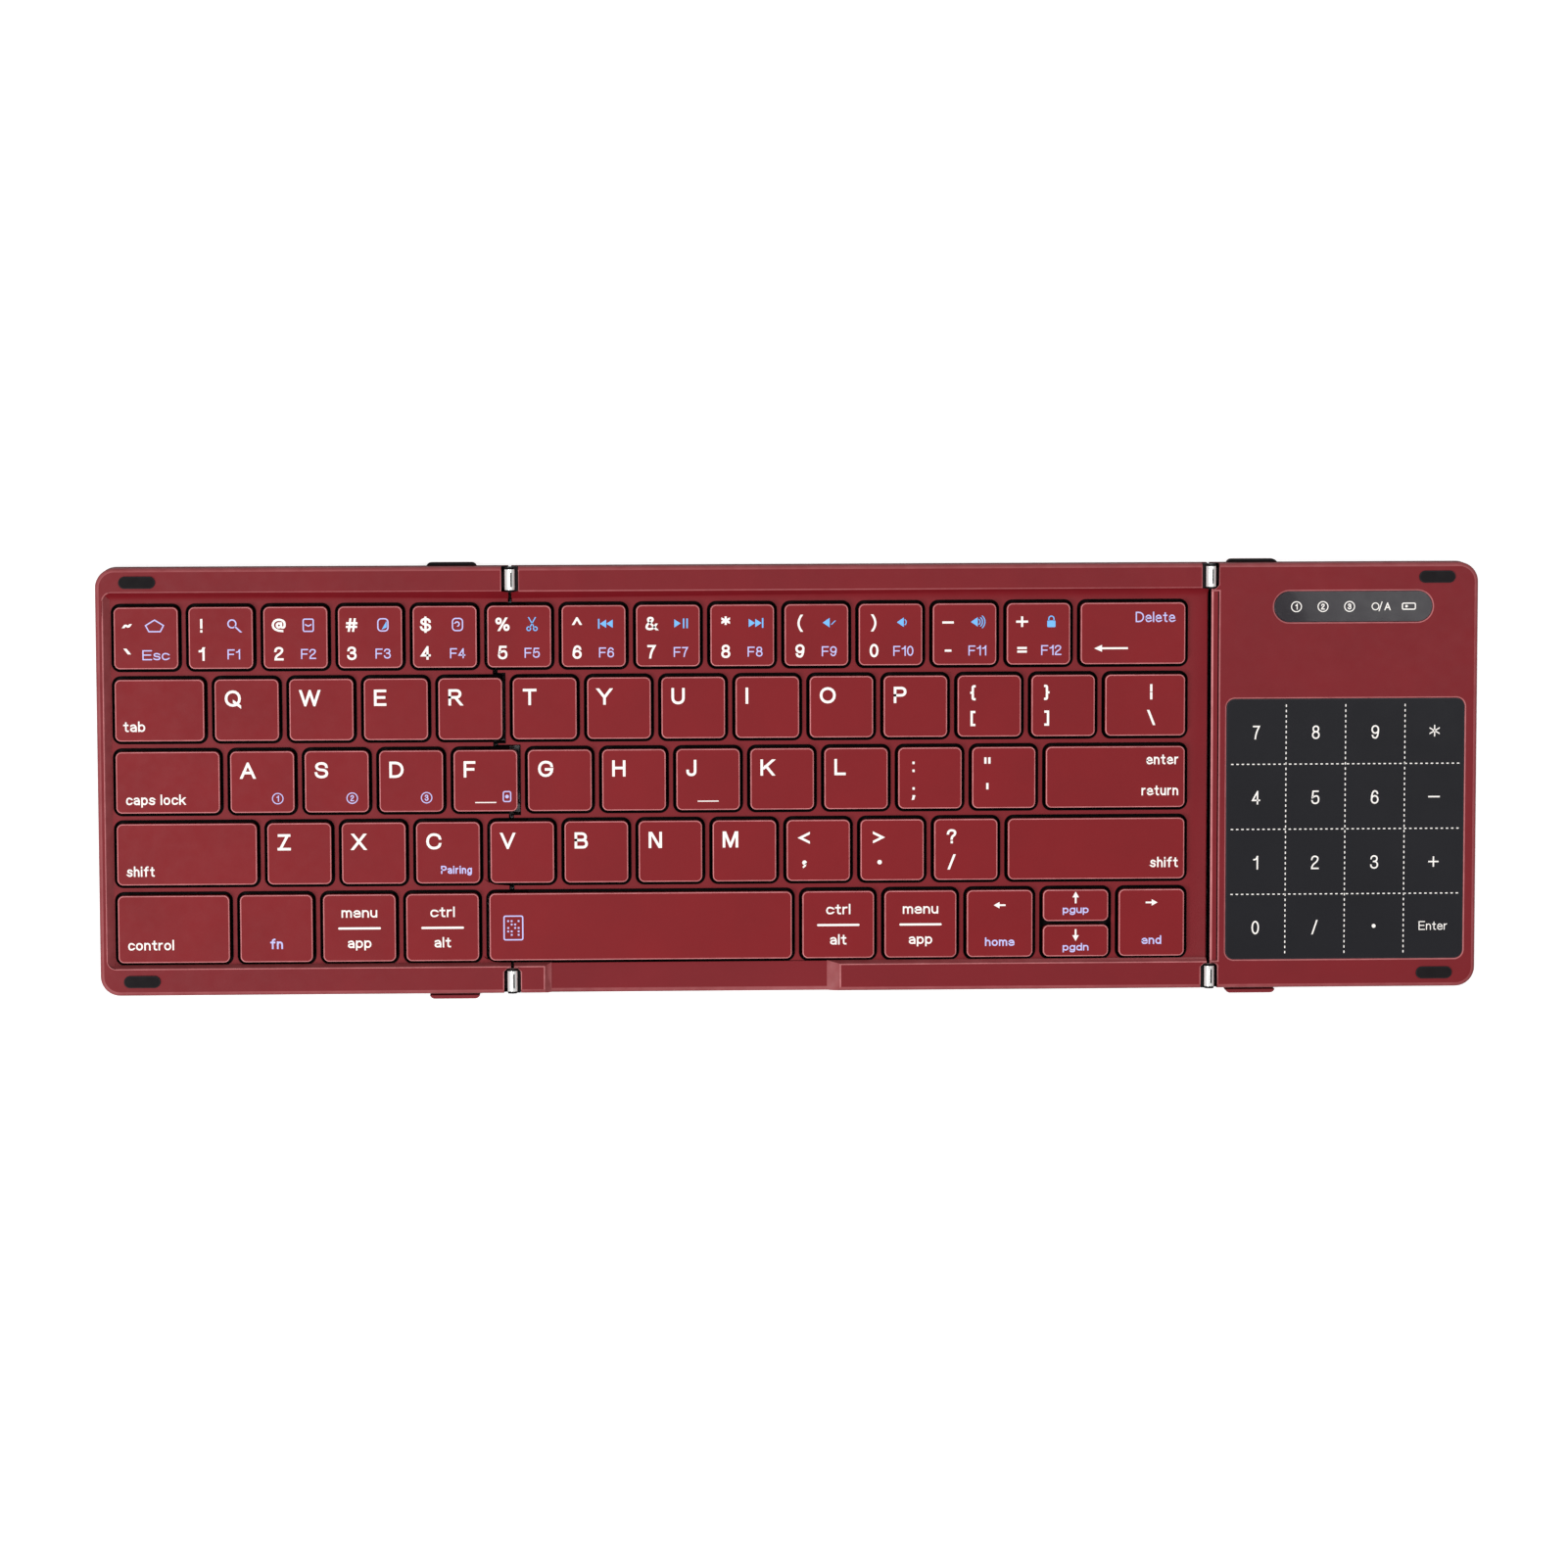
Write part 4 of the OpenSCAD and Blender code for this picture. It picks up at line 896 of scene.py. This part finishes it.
class Marks:
    """Printed letters and signs on one piece, as thin closed plates in millimetres."""

    def __init__(self, top):
        self.bm = bmesh.new()
        self.z0 = top - INK_SUNK
        self.z1 = top - INK_SUNK + INK_T

    def plate(self, loops, ink=0):
        """A plate of an outline, and of the holes in it."""
        flat = [p for loop in loops for p in loop]
        low, high = ([self.bm.verts.new((x, y, z)) for x, y in flat] for z in (self.z0, self.z1))
        tris = tessellate_polygon([[Vector((x, y, 0)) for x, y in loop] for loop in loops])
        made = []
        for a, b, c in tris:
            (ax, ay), (bx, by), (cx, cy) = flat[a], flat[b], flat[c]
            if (bx - ax) * (cy - ay) - (by - ay) * (cx - ax) < 0:
                b, c = c, b
            made.append(self.bm.faces.new((high[a], high[b], high[c])))
            made.append(self.bm.faces.new((low[c], low[b], low[a])))
        at = 0
        for loop in loops:
            end = at + len(loop)
            made += join_rings(self.bm, [low[at:end], high[at:end]])
            at = end
        bmesh.ops.recalc_face_normals(self.bm, faces=made)
        for f in made:
            f.material_index = ink

    def stroke(self, line, width, ink=0, closed=False, lift=0.0):
        """A closed plate of even width along a centre line."""
        points = {}

        def vert(p, z):
            key = (round(p[0], 5), round(p[1], 5), z)
            if key not in points:
                points[key] = self.bm.verts.new((p[0], p[1], z))
            return points[key]

        def face(*verts):
            verts = [v for i, v in enumerate(verts) if v is not verts[i - 1]]
            if len(set(verts)) > 2:
                self.bm.faces.new(verts).material_index = ink

        pairs = edges(line, width, closed)
        z0, z1 = self.z0, self.z1 + lift
        n = len(pairs)
        for i in range(n if closed else n - 1):
            (l0, r0), (l1, r1) = pairs[i], pairs[(i + 1) % n]
            face(vert(r0, z1), vert(r1, z1), vert(l1, z1), vert(l0, z1))
            face(vert(l0, z0), vert(l1, z0), vert(r1, z0), vert(r0, z0))
            face(vert(r0, z0), vert(r1, z0), vert(r1, z1), vert(r0, z1))
            face(vert(l1, z0), vert(l0, z0), vert(l0, z1), vert(l1, z1))
        if not closed:
            (l0, r0), (l1, r1) = pairs[0], pairs[-1]
            face(vert(l0, z0), vert(r0, z0), vert(r0, z1), vert(l0, z1))
            face(vert(r1, z0), vert(l1, z0), vert(l1, z1), vert(r1, z1))

    def text(self, words, x, y, height, ink=0, weight=0.15, width=None, align="CENTER", wide=1.0):
        """Words whose capitals are height tall, centred on the middle of a capital's height."""
        stroke_w = height * weight
        unit = (height - stroke_w) / 100
        spans = [glyph_width(c) if c != " " else (0, SPACE_W) for c in words]
        body = sum(b - a for a, b in spans) * unit
        fixed = len(words) * stroke_w + (len(words) - 1) * LETTER_GAP * height
        scale = (width - fixed) / body if width else wide
        total = body * scale + fixed
        at = x - {"LEFT": 0, "CENTER": total / 2, "RIGHT": total}[align]
        for char, (first, last) in zip(words, spans):
            if char != " ":
                for i, (points, closed) in enumerate(strokes(char)):
                    placed = [(at + stroke_w / 2 + (px - first) * unit * scale,
                               y - height / 2 + stroke_w / 2 + py * unit, r * unit)
                              for px, py, r in points]
                    self.stroke(bend(placed, closed), stroke_w, ink, closed, i * STROKE_LIFT)
            at += (last - first) * unit * scale + stroke_w + LETTER_GAP * height

    def disc(self, x, y, r, ink=0):
        self.plate([circle(x, y, r)], ink)

    def ring(self, x, y, r, width, ink=0):
        self.plate([circle(x, y, r), circle(x, y, r - width)[::-1]], ink)

    def done(self, name, body):
        finish_mesh(name, self.bm, INKS, body, weighted=False)


def circle(x, y, r, steps=24):
    return [(x + r * math.cos(2 * math.pi * i / steps), y + r * math.sin(2 * math.pi * i / steps))
            for i in range(steps)]


WHITE, BLUE, SKY = 0, 1, 2
LETTER_H, DIGIT_H, SMALL_H, WORD_H = 3.75, 3.1, 2.3, 2.4
BOLD, HEAVY, FINE, THIN = 0.16, 0.145, 0.12, 0.105  # stroke widths, in heights
MAIN_X, FN_X, UPPER_Y, LOWER_Y = 3.5, 10.25, 4.25, 10.75


def icon(m, kind, x, y):
    """One small function sign. Its outlines are given from its middle, which comes to x, y."""
    def stroke(line, width, ink=BLUE, closed=False):
        m.stroke([(x + a, y + b) for a, b in line], width, ink, closed)

    def plate(outline, ink=SKY):
        m.plate([[(x + a, y + b) for a, b in outline]], ink)

    if kind == "house":
        stroke([(-1.3, -1.3), (1.3, -1.3), (2.05, 0.1), (0, 1.35), (-2.05, 0.1)], 0.28, closed=True)
    elif kind == "lens":
        m.ring(x - 0.35, y + 0.4, 1.05, 0.3, BLUE)
        stroke([(0.42, -0.3), (1.55, -1.4)], 0.34)
    elif kind in ("frame", "page", "paste"):
        stroke(round_box(-1.15, -1.4, 1.15, 1.4, 0.35 if kind == "frame" else 0.75), 0.28, closed=True)
        if kind == "frame":
            stroke([(-0.6, 0.1), (0, -0.2), (0.6, 0.1)], 0.28)
        elif kind == "page":
            plate([(-0.3, -1.1), (0.85, -0.6), (0.85, 0.9)])
        else:
            stroke(arc(-0.1, 0.1, 0.5, 150, -60), 0.28)
    elif kind == "scissors":
        for s in (-1, 1):
            m.ring(x + s * 0.75, y - 1.05, 0.55, 0.24, SKY)
            stroke([(-s * 0.75, 1.5), (s * 0.42, -0.6)], 0.24, SKY)
    elif kind in ("previous", "next", "play"):
        s = -1 if kind == "previous" else 1
        starts, bars = ((-1.5,), (0.65, 1.45)) if kind == "play" else ((-1.45, 0.05), (1.75,))
        for a in starts:
            plate([(s * a, -0.95), (s * (a + 1.45), 0), (s * a, 0.95)])
        for b in bars:
            stroke([(s * b, -0.95), (s * b, 0.95)], 0.34, SKY)
    elif kind.startswith("sound"):
        plate([(-1.5, 0), (0.1, -1.1), (0.1, 1.1)])
        if kind == "sound0":
            stroke([(0.6, -0.35), (1.3, 0.35)], 0.22, SKY)
        for i in range(int(kind[-1])):
            stroke(arc(-0.1, 0, 0.75 + 0.55 * i, -45, 45), 0.24, SKY)
    elif kind == "lock":
        plate(round_box(-0.95, -1.3, 0.95, 0.25, 0.2, 2))
        stroke([(-0.6, 0.25)] + arc(0, 0.65, 0.6, 180, 0) + [(0.6, 0.25)], 0.26, SKY)
    elif kind in ("left", "right", "up", "down"):
        turn = {"right": 0, "up": 90, "left": 180, "down": 270}[kind]
        c, s = math.cos(math.radians(turn)), math.sin(math.radians(turn))
        shape = ((-1.35, -0.2), (0.05, -0.2), (0.05, -0.75), (1.4, 0), (0.05, 0.75), (0.05, 0.2),
                 (-1.35, 0.2))
        plate([(a * c - b * s, a * s + b * c) for a, b in shape], WHITE)
    elif kind == "long_left":
        plate([(-3.9, 0), (-2.1, -0.8), (-2.1, -0.22), (3.9, -0.22), (3.9, 0.22), (-2.1, 0.22),
               (-2.1, 0.8)], WHITE)
    elif kind.startswith("ring"):
        m.ring(x, y, 1.32, 0.22, BLUE)
        m.text(kind[-1], x, y, 1.4, BLUE, 0.16)
    elif kind == "badge":
        stroke(round_box(-0.85, -1.15, 0.85, 1.15, 0.4), 0.26, closed=True)
        m.disc(x, y, 0.42, BLUE)
    elif kind == "code":
        stroke(round_box(-2.15, -2.75, 2.15, 2.75, 0.35), 0.3, closed=True)
        for i, row in enumerate(("1101", "0110", "1011", "1101", "0101")):
            for j, bit in enumerate(row):
                if bit == "1":
                    plate(box_loop(0.8 * j - 1.4, 1.4 - 0.8 * i, 0.8 * j - 1, 1.8 - 0.8 * i), BLUE)
    elif kind in ("stop", "comma"):
        m.disc(x, y, 0.52, WHITE)
        if kind == "comma":
            plate([(-0.45, -1), (-0.3, -1.3), (0.3, -0.85), (0.52, 0), (0.1, -0.3)], WHITE)
    elif kind == "bar":
        stroke([(-2.3, 0), (2.3, 0)], 0.24, WHITE)


def sign(words, x, y, height, ink=WHITE, weight=BOLD, width=None, align="CENTER"):
    """A text of a legend, placed from its cap's left side (right, if it ends there) and rear."""
    return ("text", words, x, y, height, ink, weight, width, align)


def digit_key(upper, lower, symbol, name, shift):
    """The four marks of a key in the rear row, its left two moved left by shift."""
    x = MAIN_X - shift
    return [sign(upper, x, UPPER_Y, DIGIT_H), sign(lower, x, LOWER_Y, DIGIT_H),
            ("icon", symbol, FN_X, UPPER_Y), sign(name, FN_X, LOWER_Y + 0.1, SMALL_H, BLUE, FINE)]


def letter(words):
    return [sign(words, 2.3, 4.4, LETTER_H, align="LEFT")]


def word(words, width, y=11.2, align="LEFT", x=2.25):
    return [sign(words, x, y, WORD_H, WHITE, HEAVY, width, align)]


def pair(upper, lower, upper_w, lower_w):
    """Two centred words with a line between them."""
    return [sign(upper, "middle", 4.15, WORD_H, WHITE, HEAVY, upper_w),
            sign(lower, "middle", 11.2, WORD_H, WHITE, HEAVY, lower_w), ("rule", 7.85, 9.8, 0.5)]


STACK_Y, STACK_GAP, STACK_H = 4.0, 5.95, 3.3


def stacked(upper, lower, x=3.5):
    return [sign(upper, x, STACK_Y, STACK_H), sign(lower, x, STACK_Y + STACK_GAP, STACK_H)]


WIDE = 1.18  # how much wider than the drawn signs those on the caps are
LEGENDS = {"key_" + c: [letter(c.upper())] for c in "qwertyuiopasdfghjklzxcvbnm"}
for i, c in enumerate("asd"):
    LEGENDS["key_" + c][0].append(("icon", f"ring{i + 1}", 10.8, 10.9))
LEGENDS["key_f"][0] += [("icon", "badge", 12.2, 10.75), ("icon", "bar", 7.3, 12.1)]
LEGENDS["key_j"][0].append(("icon", "bar", 7.3, 12.1))
LEGENDS["key_c"][0].append(sign("Pairing", 9.2, 11.0, 1.85, BLUE, width=7.1))
REAR_ROW = [
    digit_key(upper, lower, symbol, f"F{i + 1}", shift)
    for i, (upper, lower, symbol, shift) in enumerate((
        ("!", "1", "lens", 0.6), ("@", "2", "frame", 0), ("#", "3", "page", 0.4),
        ("$", "4", "paste", 0.55), ("%", "5", "scissors", 0), ("^", "6", "previous", 0),
        ("&", "7", "play", 0), ("*", "8", "next", 0), ("(", "9", "sound0", 0),
        (")", "0", "sound1", 0), ("—", "-", "sound3", 0), ("+", "=", "lock", 0)))
]
LEGENDS["number_keys_left"] = [
    [sign("~", 3.0, UPPER_Y, DIGIT_H), sign("`", 3.0, LOWER_Y + 0.6, 3.6),
     ("icon", "house", 9.3, UPPER_Y), sign("Esc", 9.5, LOWER_Y + 0.2, SMALL_H, BLUE, FINE, 6.1)],
    *REAR_ROW[:4],
]
LEGENDS["number_keys_centre"] = REAR_ROW[4:]
LEGENDS["symbol_keys"] = [
    stacked("{", "["), stacked("}", "]"), stacked("¦", "\\", 10.6),
    stacked(":", ";"), stacked("\"", "'"),
    [sign("<", 4.1, STACK_Y, STACK_H), ("icon", "comma", 4.1, 9.9)],
    [sign(">", 4.1, STACK_Y, STACK_H), ("icon", "stop", 4.4, 9.9)], stacked("?", "/", 4.0),
]
LEGENDS["modifier_keys_left"] = [
    word("tab", 5.0, 10.75, x=1.85), word("caps lock", 13.6, 11.0), word("shift", 6.3, 10.95),
    word("control", 10.5, 11.4),
    [sign("fn", "middle", 11.3, WORD_H, BLUE, width=2.9)],
    pair("menu", "app", 8.2, 5.4), pair("ctrl", "alt", 5.6, 3.8),
]
LEGENDS["modifier_keys_right"] = [
    [sign("Delete", 2.4, 3.3, WORD_H, BLUE, FINE, 9.1, "RIGHT"), ("icon", "long_left", 7.0, 10.5)],
    word("enter", 7.4, 3.0, "RIGHT", x=1.5) + word("return", 8.5, 10.2, "RIGHT", x=1.5),
    word("shift", 6.4, 10.3, "RIGHT", x=1.5),
    pair("ctrl", "alt", 5.6, 3.8), pair("menu", "app", 8.2, 5.4),
]
LEGENDS["arrow_keys"] = [
    [("icon", kind, "middle", icon_y), sign(words, "middle", y, height, BLUE, width=width)]
    for kind, icon_y, words, y, height, width in (
        ("left", 3.5, "home", 12.0, 2.0, 6.8), ("up", 1.85, "pgup", 4.6, 1.75, 6.0),
        ("down", 2.0, "pgdn", 4.75, 1.75, 6.0), ("right", 3.1, "end", 11.8, 2.0, 4.6))
]
LEGENDS["space_key"] = [[("icon", "code", 5.5, 8.0)]]

for node in KEY_NODES:
    marks = Marks(CAP_Z)
    for (x0, y0, x1, y1), items in zip(CAPS[node], LEGENDS[node], strict=True):
        for kind, *rest in items:
            if kind == "rule":
                down, long, wide = rest
                middle = (x0 + x1) / 2
                marks.plate([round_box(middle - long / 2, y1 - down - wide / 2, middle + long / 2,
                                       y1 - down + wide / 2, wide * 0.45, 3)], WHITE)
                continue
            what, across, down = rest[:3]
            if across == "middle":
                x = (x0 + x1) / 2
            elif kind == "text" and rest[-1] == "RIGHT":
                x = x1 - across
            else:
                x = x0 + across
            if kind == "icon":
                icon(marks, what, x, y1 - down)
            else:
                height, ink, weight, width, align = rest[3:]
                marks.text(what, x, y1 - down, height, ink, weight, width, align, WIDE)
    marks.done("marks_" + node, BODY_OF[node])

# The touch panel: dashed lines in a 4 by 4 grid, with a number pad's signs.
low, high = (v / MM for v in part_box("touch_panel"))
marks = Marks(high.z)
cell_x, cell_y = (high.x - low.x) / 4, (high.y - low.y) / 4
DASH, GAP, DASH_W = 0.6, 0.62, 0.25


def dashes(along_x, fixed, a, b):
    n = int((b - a + GAP) / (DASH + GAP))
    start = a + ((b - a) - (n * (DASH + GAP) - GAP)) / 2
    for i in range(n):
        s = start + i * (DASH + GAP)
        box = ((s, fixed - DASH_W / 2, s + DASH, fixed + DASH_W / 2) if along_x
               else (fixed - DASH_W / 2, s, fixed + DASH_W / 2, s + DASH))
        marks.plate([round_box(*box, DASH_W * 0.4, 2)], WHITE)


MARGIN_X, MARGIN_Y = 0.6, 0.8
for i in (1, 2, 3):
    dashes(True, low.y + cell_y * i, low.x + MARGIN_X, high.x - MARGIN_X)
    dashes(False, low.x + cell_x * i, low.y + MARGIN_Y, high.y - MARGIN_Y)
PAD_SIGN_H, ENTER_H, ENTER_W, STAR_R, DOT_R = 3.15, 2.05, 6.6, 1.2, 0.45
for row, chars in enumerate(("789*", "456−", "123+", "0/·E")):
    for column, char in enumerate(chars):
        x, y = low.x + cell_x * (column + 0.5), high.y - cell_y * (row + 0.5)
        if char == "E":
            marks.text("Enter", x, y, ENTER_H, WHITE, THIN, ENTER_W)
        elif char == "·":
            marks.disc(x, y, DOT_R, WHITE)
        elif char == "*":
            for k in range(3):
                c, s = (STAR_R * part(math.pi * (k / 3 + 0.5)) for part in (math.cos, math.sin))
                marks.stroke([(x - c, y - s), (x + c, y + s)], 0.26, WHITE)
        else:
            marks.text(char, x, y - 0.2, PAD_SIGN_H, WHITE, THIN)
marks.done("marks_touch_panel", BODY_OF["touch_panel"])

# The indicator window: five small signs.
low, high = (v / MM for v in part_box("indicator_window"))
marks = Marks(high.z)
middle_x, middle_y = (low.x + high.x) / 2, (low.y + high.y) / 2
RING_X, RING_STEP = -13.2, 6.15  # the ringed digits, from the window's middle
for i, digit in enumerate("123"):
    x = middle_x + RING_X + RING_STEP * i
    marks.ring(x, middle_y, 1.26, 0.22, WHITE)
    marks.text(digit, x, middle_y, 1.35, WHITE, 0.17)
marks.ring(middle_x + 5.1, middle_y, 0.9, 0.22, WHITE)
marks.stroke([(middle_x + 5.95, middle_y - 1.0), (middle_x + 6.6, middle_y + 1.0)], 0.22, WHITE)
marks.text("A", middle_x + 7.9, middle_y, 1.8, WHITE, 0.14)
marks.stroke(round_box(middle_x + 11.35, middle_y - 0.7, middle_x + 14.35, middle_y + 0.7, 0.3),
             0.26, WHITE, closed=True)
marks.disc(middle_x + 12.3, middle_y, 0.3, WHITE)
marks.done("marks_indicator_window", BODY_OF["indicator_window"])

# ---------------------------------------------------------------- stage, light and camera


FLOOR_TONE, FLOOR_GLOW = 0.6, 0.68  # the glow is seen by the camera only, so shadows stay faint
# Across each seam the floor below doesn't glow, a painted shade that keeps the gaps between the panels dark:
# (middle, dark half width, faded half width)
SEAM_SHADE_BANDS = ((LEFT_AXIS_X, 8.0, 18.0), (RIGHT_AXIS_X, 3.0, 10.0))
BAND_Y, BAND_FADE_Y, FLOOR_HALF = 47.8, 49.2, 4000.0


def stage_floor():
    xs = [-FLOOR_HALF] + [x + k for x, dark, fade in SEAM_SHADE_BANDS for k in (-fade, -dark, dark, fade)]
    xs.append(FLOOR_HALF)
    ys = [-FLOOR_HALF, -BAND_FADE_Y, -BAND_Y, BAND_Y, BAND_FADE_Y, FLOOR_HALF]
    points = [(x * MM, y * MM, 0) for y in ys for x in xs]
    n = len(xs)
    mesh = bpy.data.meshes.new("floor")
    mesh.from_pydata(points, [], [(j * n + i, j * n + i + 1, (j + 1) * n + i + 1, (j + 1) * n + i)
                                  for j in range(len(ys) - 1) for i in range(n - 1)])
    glowing = mesh.attributes.new("glow", "FLOAT", "POINT")
    for i, (x, y, _) in enumerate(points):
        dark = abs(y) <= BAND_Y * MM and any(abs(x - at * MM) <= half * MM + 1e-6
                                             for at, half, _ in SEAM_SHADE_BANDS)
        glowing.data[i].value = 0.0 if dark else 1.0
    floor = add_object("floor", mesh)
    m = bpy.data.materials.new("floor_white")
    m.use_nodes = True
    tree = m.node_tree
    bsdf = feed(tree, tree.nodes["Principled BSDF"], {
        "Base Color": (FLOOR_TONE, FLOOR_TONE, FLOOR_TONE, 1), "Roughness": 0.9,
        "Specular IOR Level": 0.0})
    camera_ray = add_node(tree, "LightPath", {}).outputs["Is Camera Ray"]
    where = add_node(tree, "Attribute", {}, attribute_name="glow").outputs["Fac"]
    strength = add_node(tree, "MapRange", {"To Max": FLOOR_GLOW, "Value": where})
    seen = add_node(tree, "Math", {0: camera_ray, 1: strength.outputs["Result"]},
                    operation="MULTIPLY")
    glow = add_node(tree, "Emission", {"Strength": seen.outputs["Value"]})
    both = add_node(tree, "AddShader", {0: bsdf.outputs["BSDF"], 1: glow.outputs["Emission"]})
    feed(tree, tree.nodes["Material Output"], {"Surface": both.outputs["Shader"]})
    mesh.materials.append(m)


stage_floor()

WORLD_STRENGTH = 0.2
world = bpy.data.worlds.new("studio")
bpy.context.scene.world = world
world.use_nodes = True
tree = world.node_tree
camera_ray = add_node(tree, "LightPath", {}).outputs["Is Camera Ray"]
brightness = add_node(tree, "MapRange", {"To Min": WORLD_STRENGTH, "To Max": 1.0,
                                         "Value": camera_ray})
feed(tree, tree.nodes["Background"], {"Color": (1, 1, 1, 1),
                                      "Strength": brightness.outputs["Result"]})

# Square lamps: name, place and aim in metres, side, watts. The sheens give the side panels the
# pale haze that they have in the photo.
LAMPS = (
    ("key", (-0.72, -0.5, 0.85), (0, 0, 0), 0.4, 7.6),
    ("rear", (0.38, 0.36, 0.75), (0, 0, 0), 0.4, 2.45),
    ("sheen", (-0.34, -0.04, 0.8), (-0.1, 0, 0), 0.3, 2.2),
    ("right_sheen", (0.36, 0.06, 0.8), (0.14, 0, 0), 0.3, 1.0),
)
for name, where, aim, size, power in LAMPS:
    data = bpy.data.lights.new(name, "AREA")
    data.shape = "RECTANGLE"
    data.size = data.size_y = size
    data.energy = power
    lamp = add_object(name, data)
    lamp.location = where
    lamp.rotation_euler = (Vector(aim) - Vector(where)).to_track_quat("-Z", "Y").to_euler()

# The camera, from a fit of the photo's key and body edges: its turn is an axis times an angle.
CAMERA_MM = (-47.72, 119.41, 1229.92)
CAMERA_TURN = Vector((-0.098165, -0.037899, -0.0043183))
CAMERA_LENS = 122.48
data = bpy.data.cameras.new("camera")
data.lens = CAMERA_LENS
data.sensor_width = 36.0
camera = add_object("camera", data)
turn = Matrix.Rotation(CAMERA_TURN.length, 4, CAMERA_TURN.normalized())
camera.matrix_world = Matrix.Translation(Vector(CAMERA_MM) * MM) @ turn
bpy.context.scene.camera = camera
bpy.context.scene.view_settings.view_transform = "Standard"
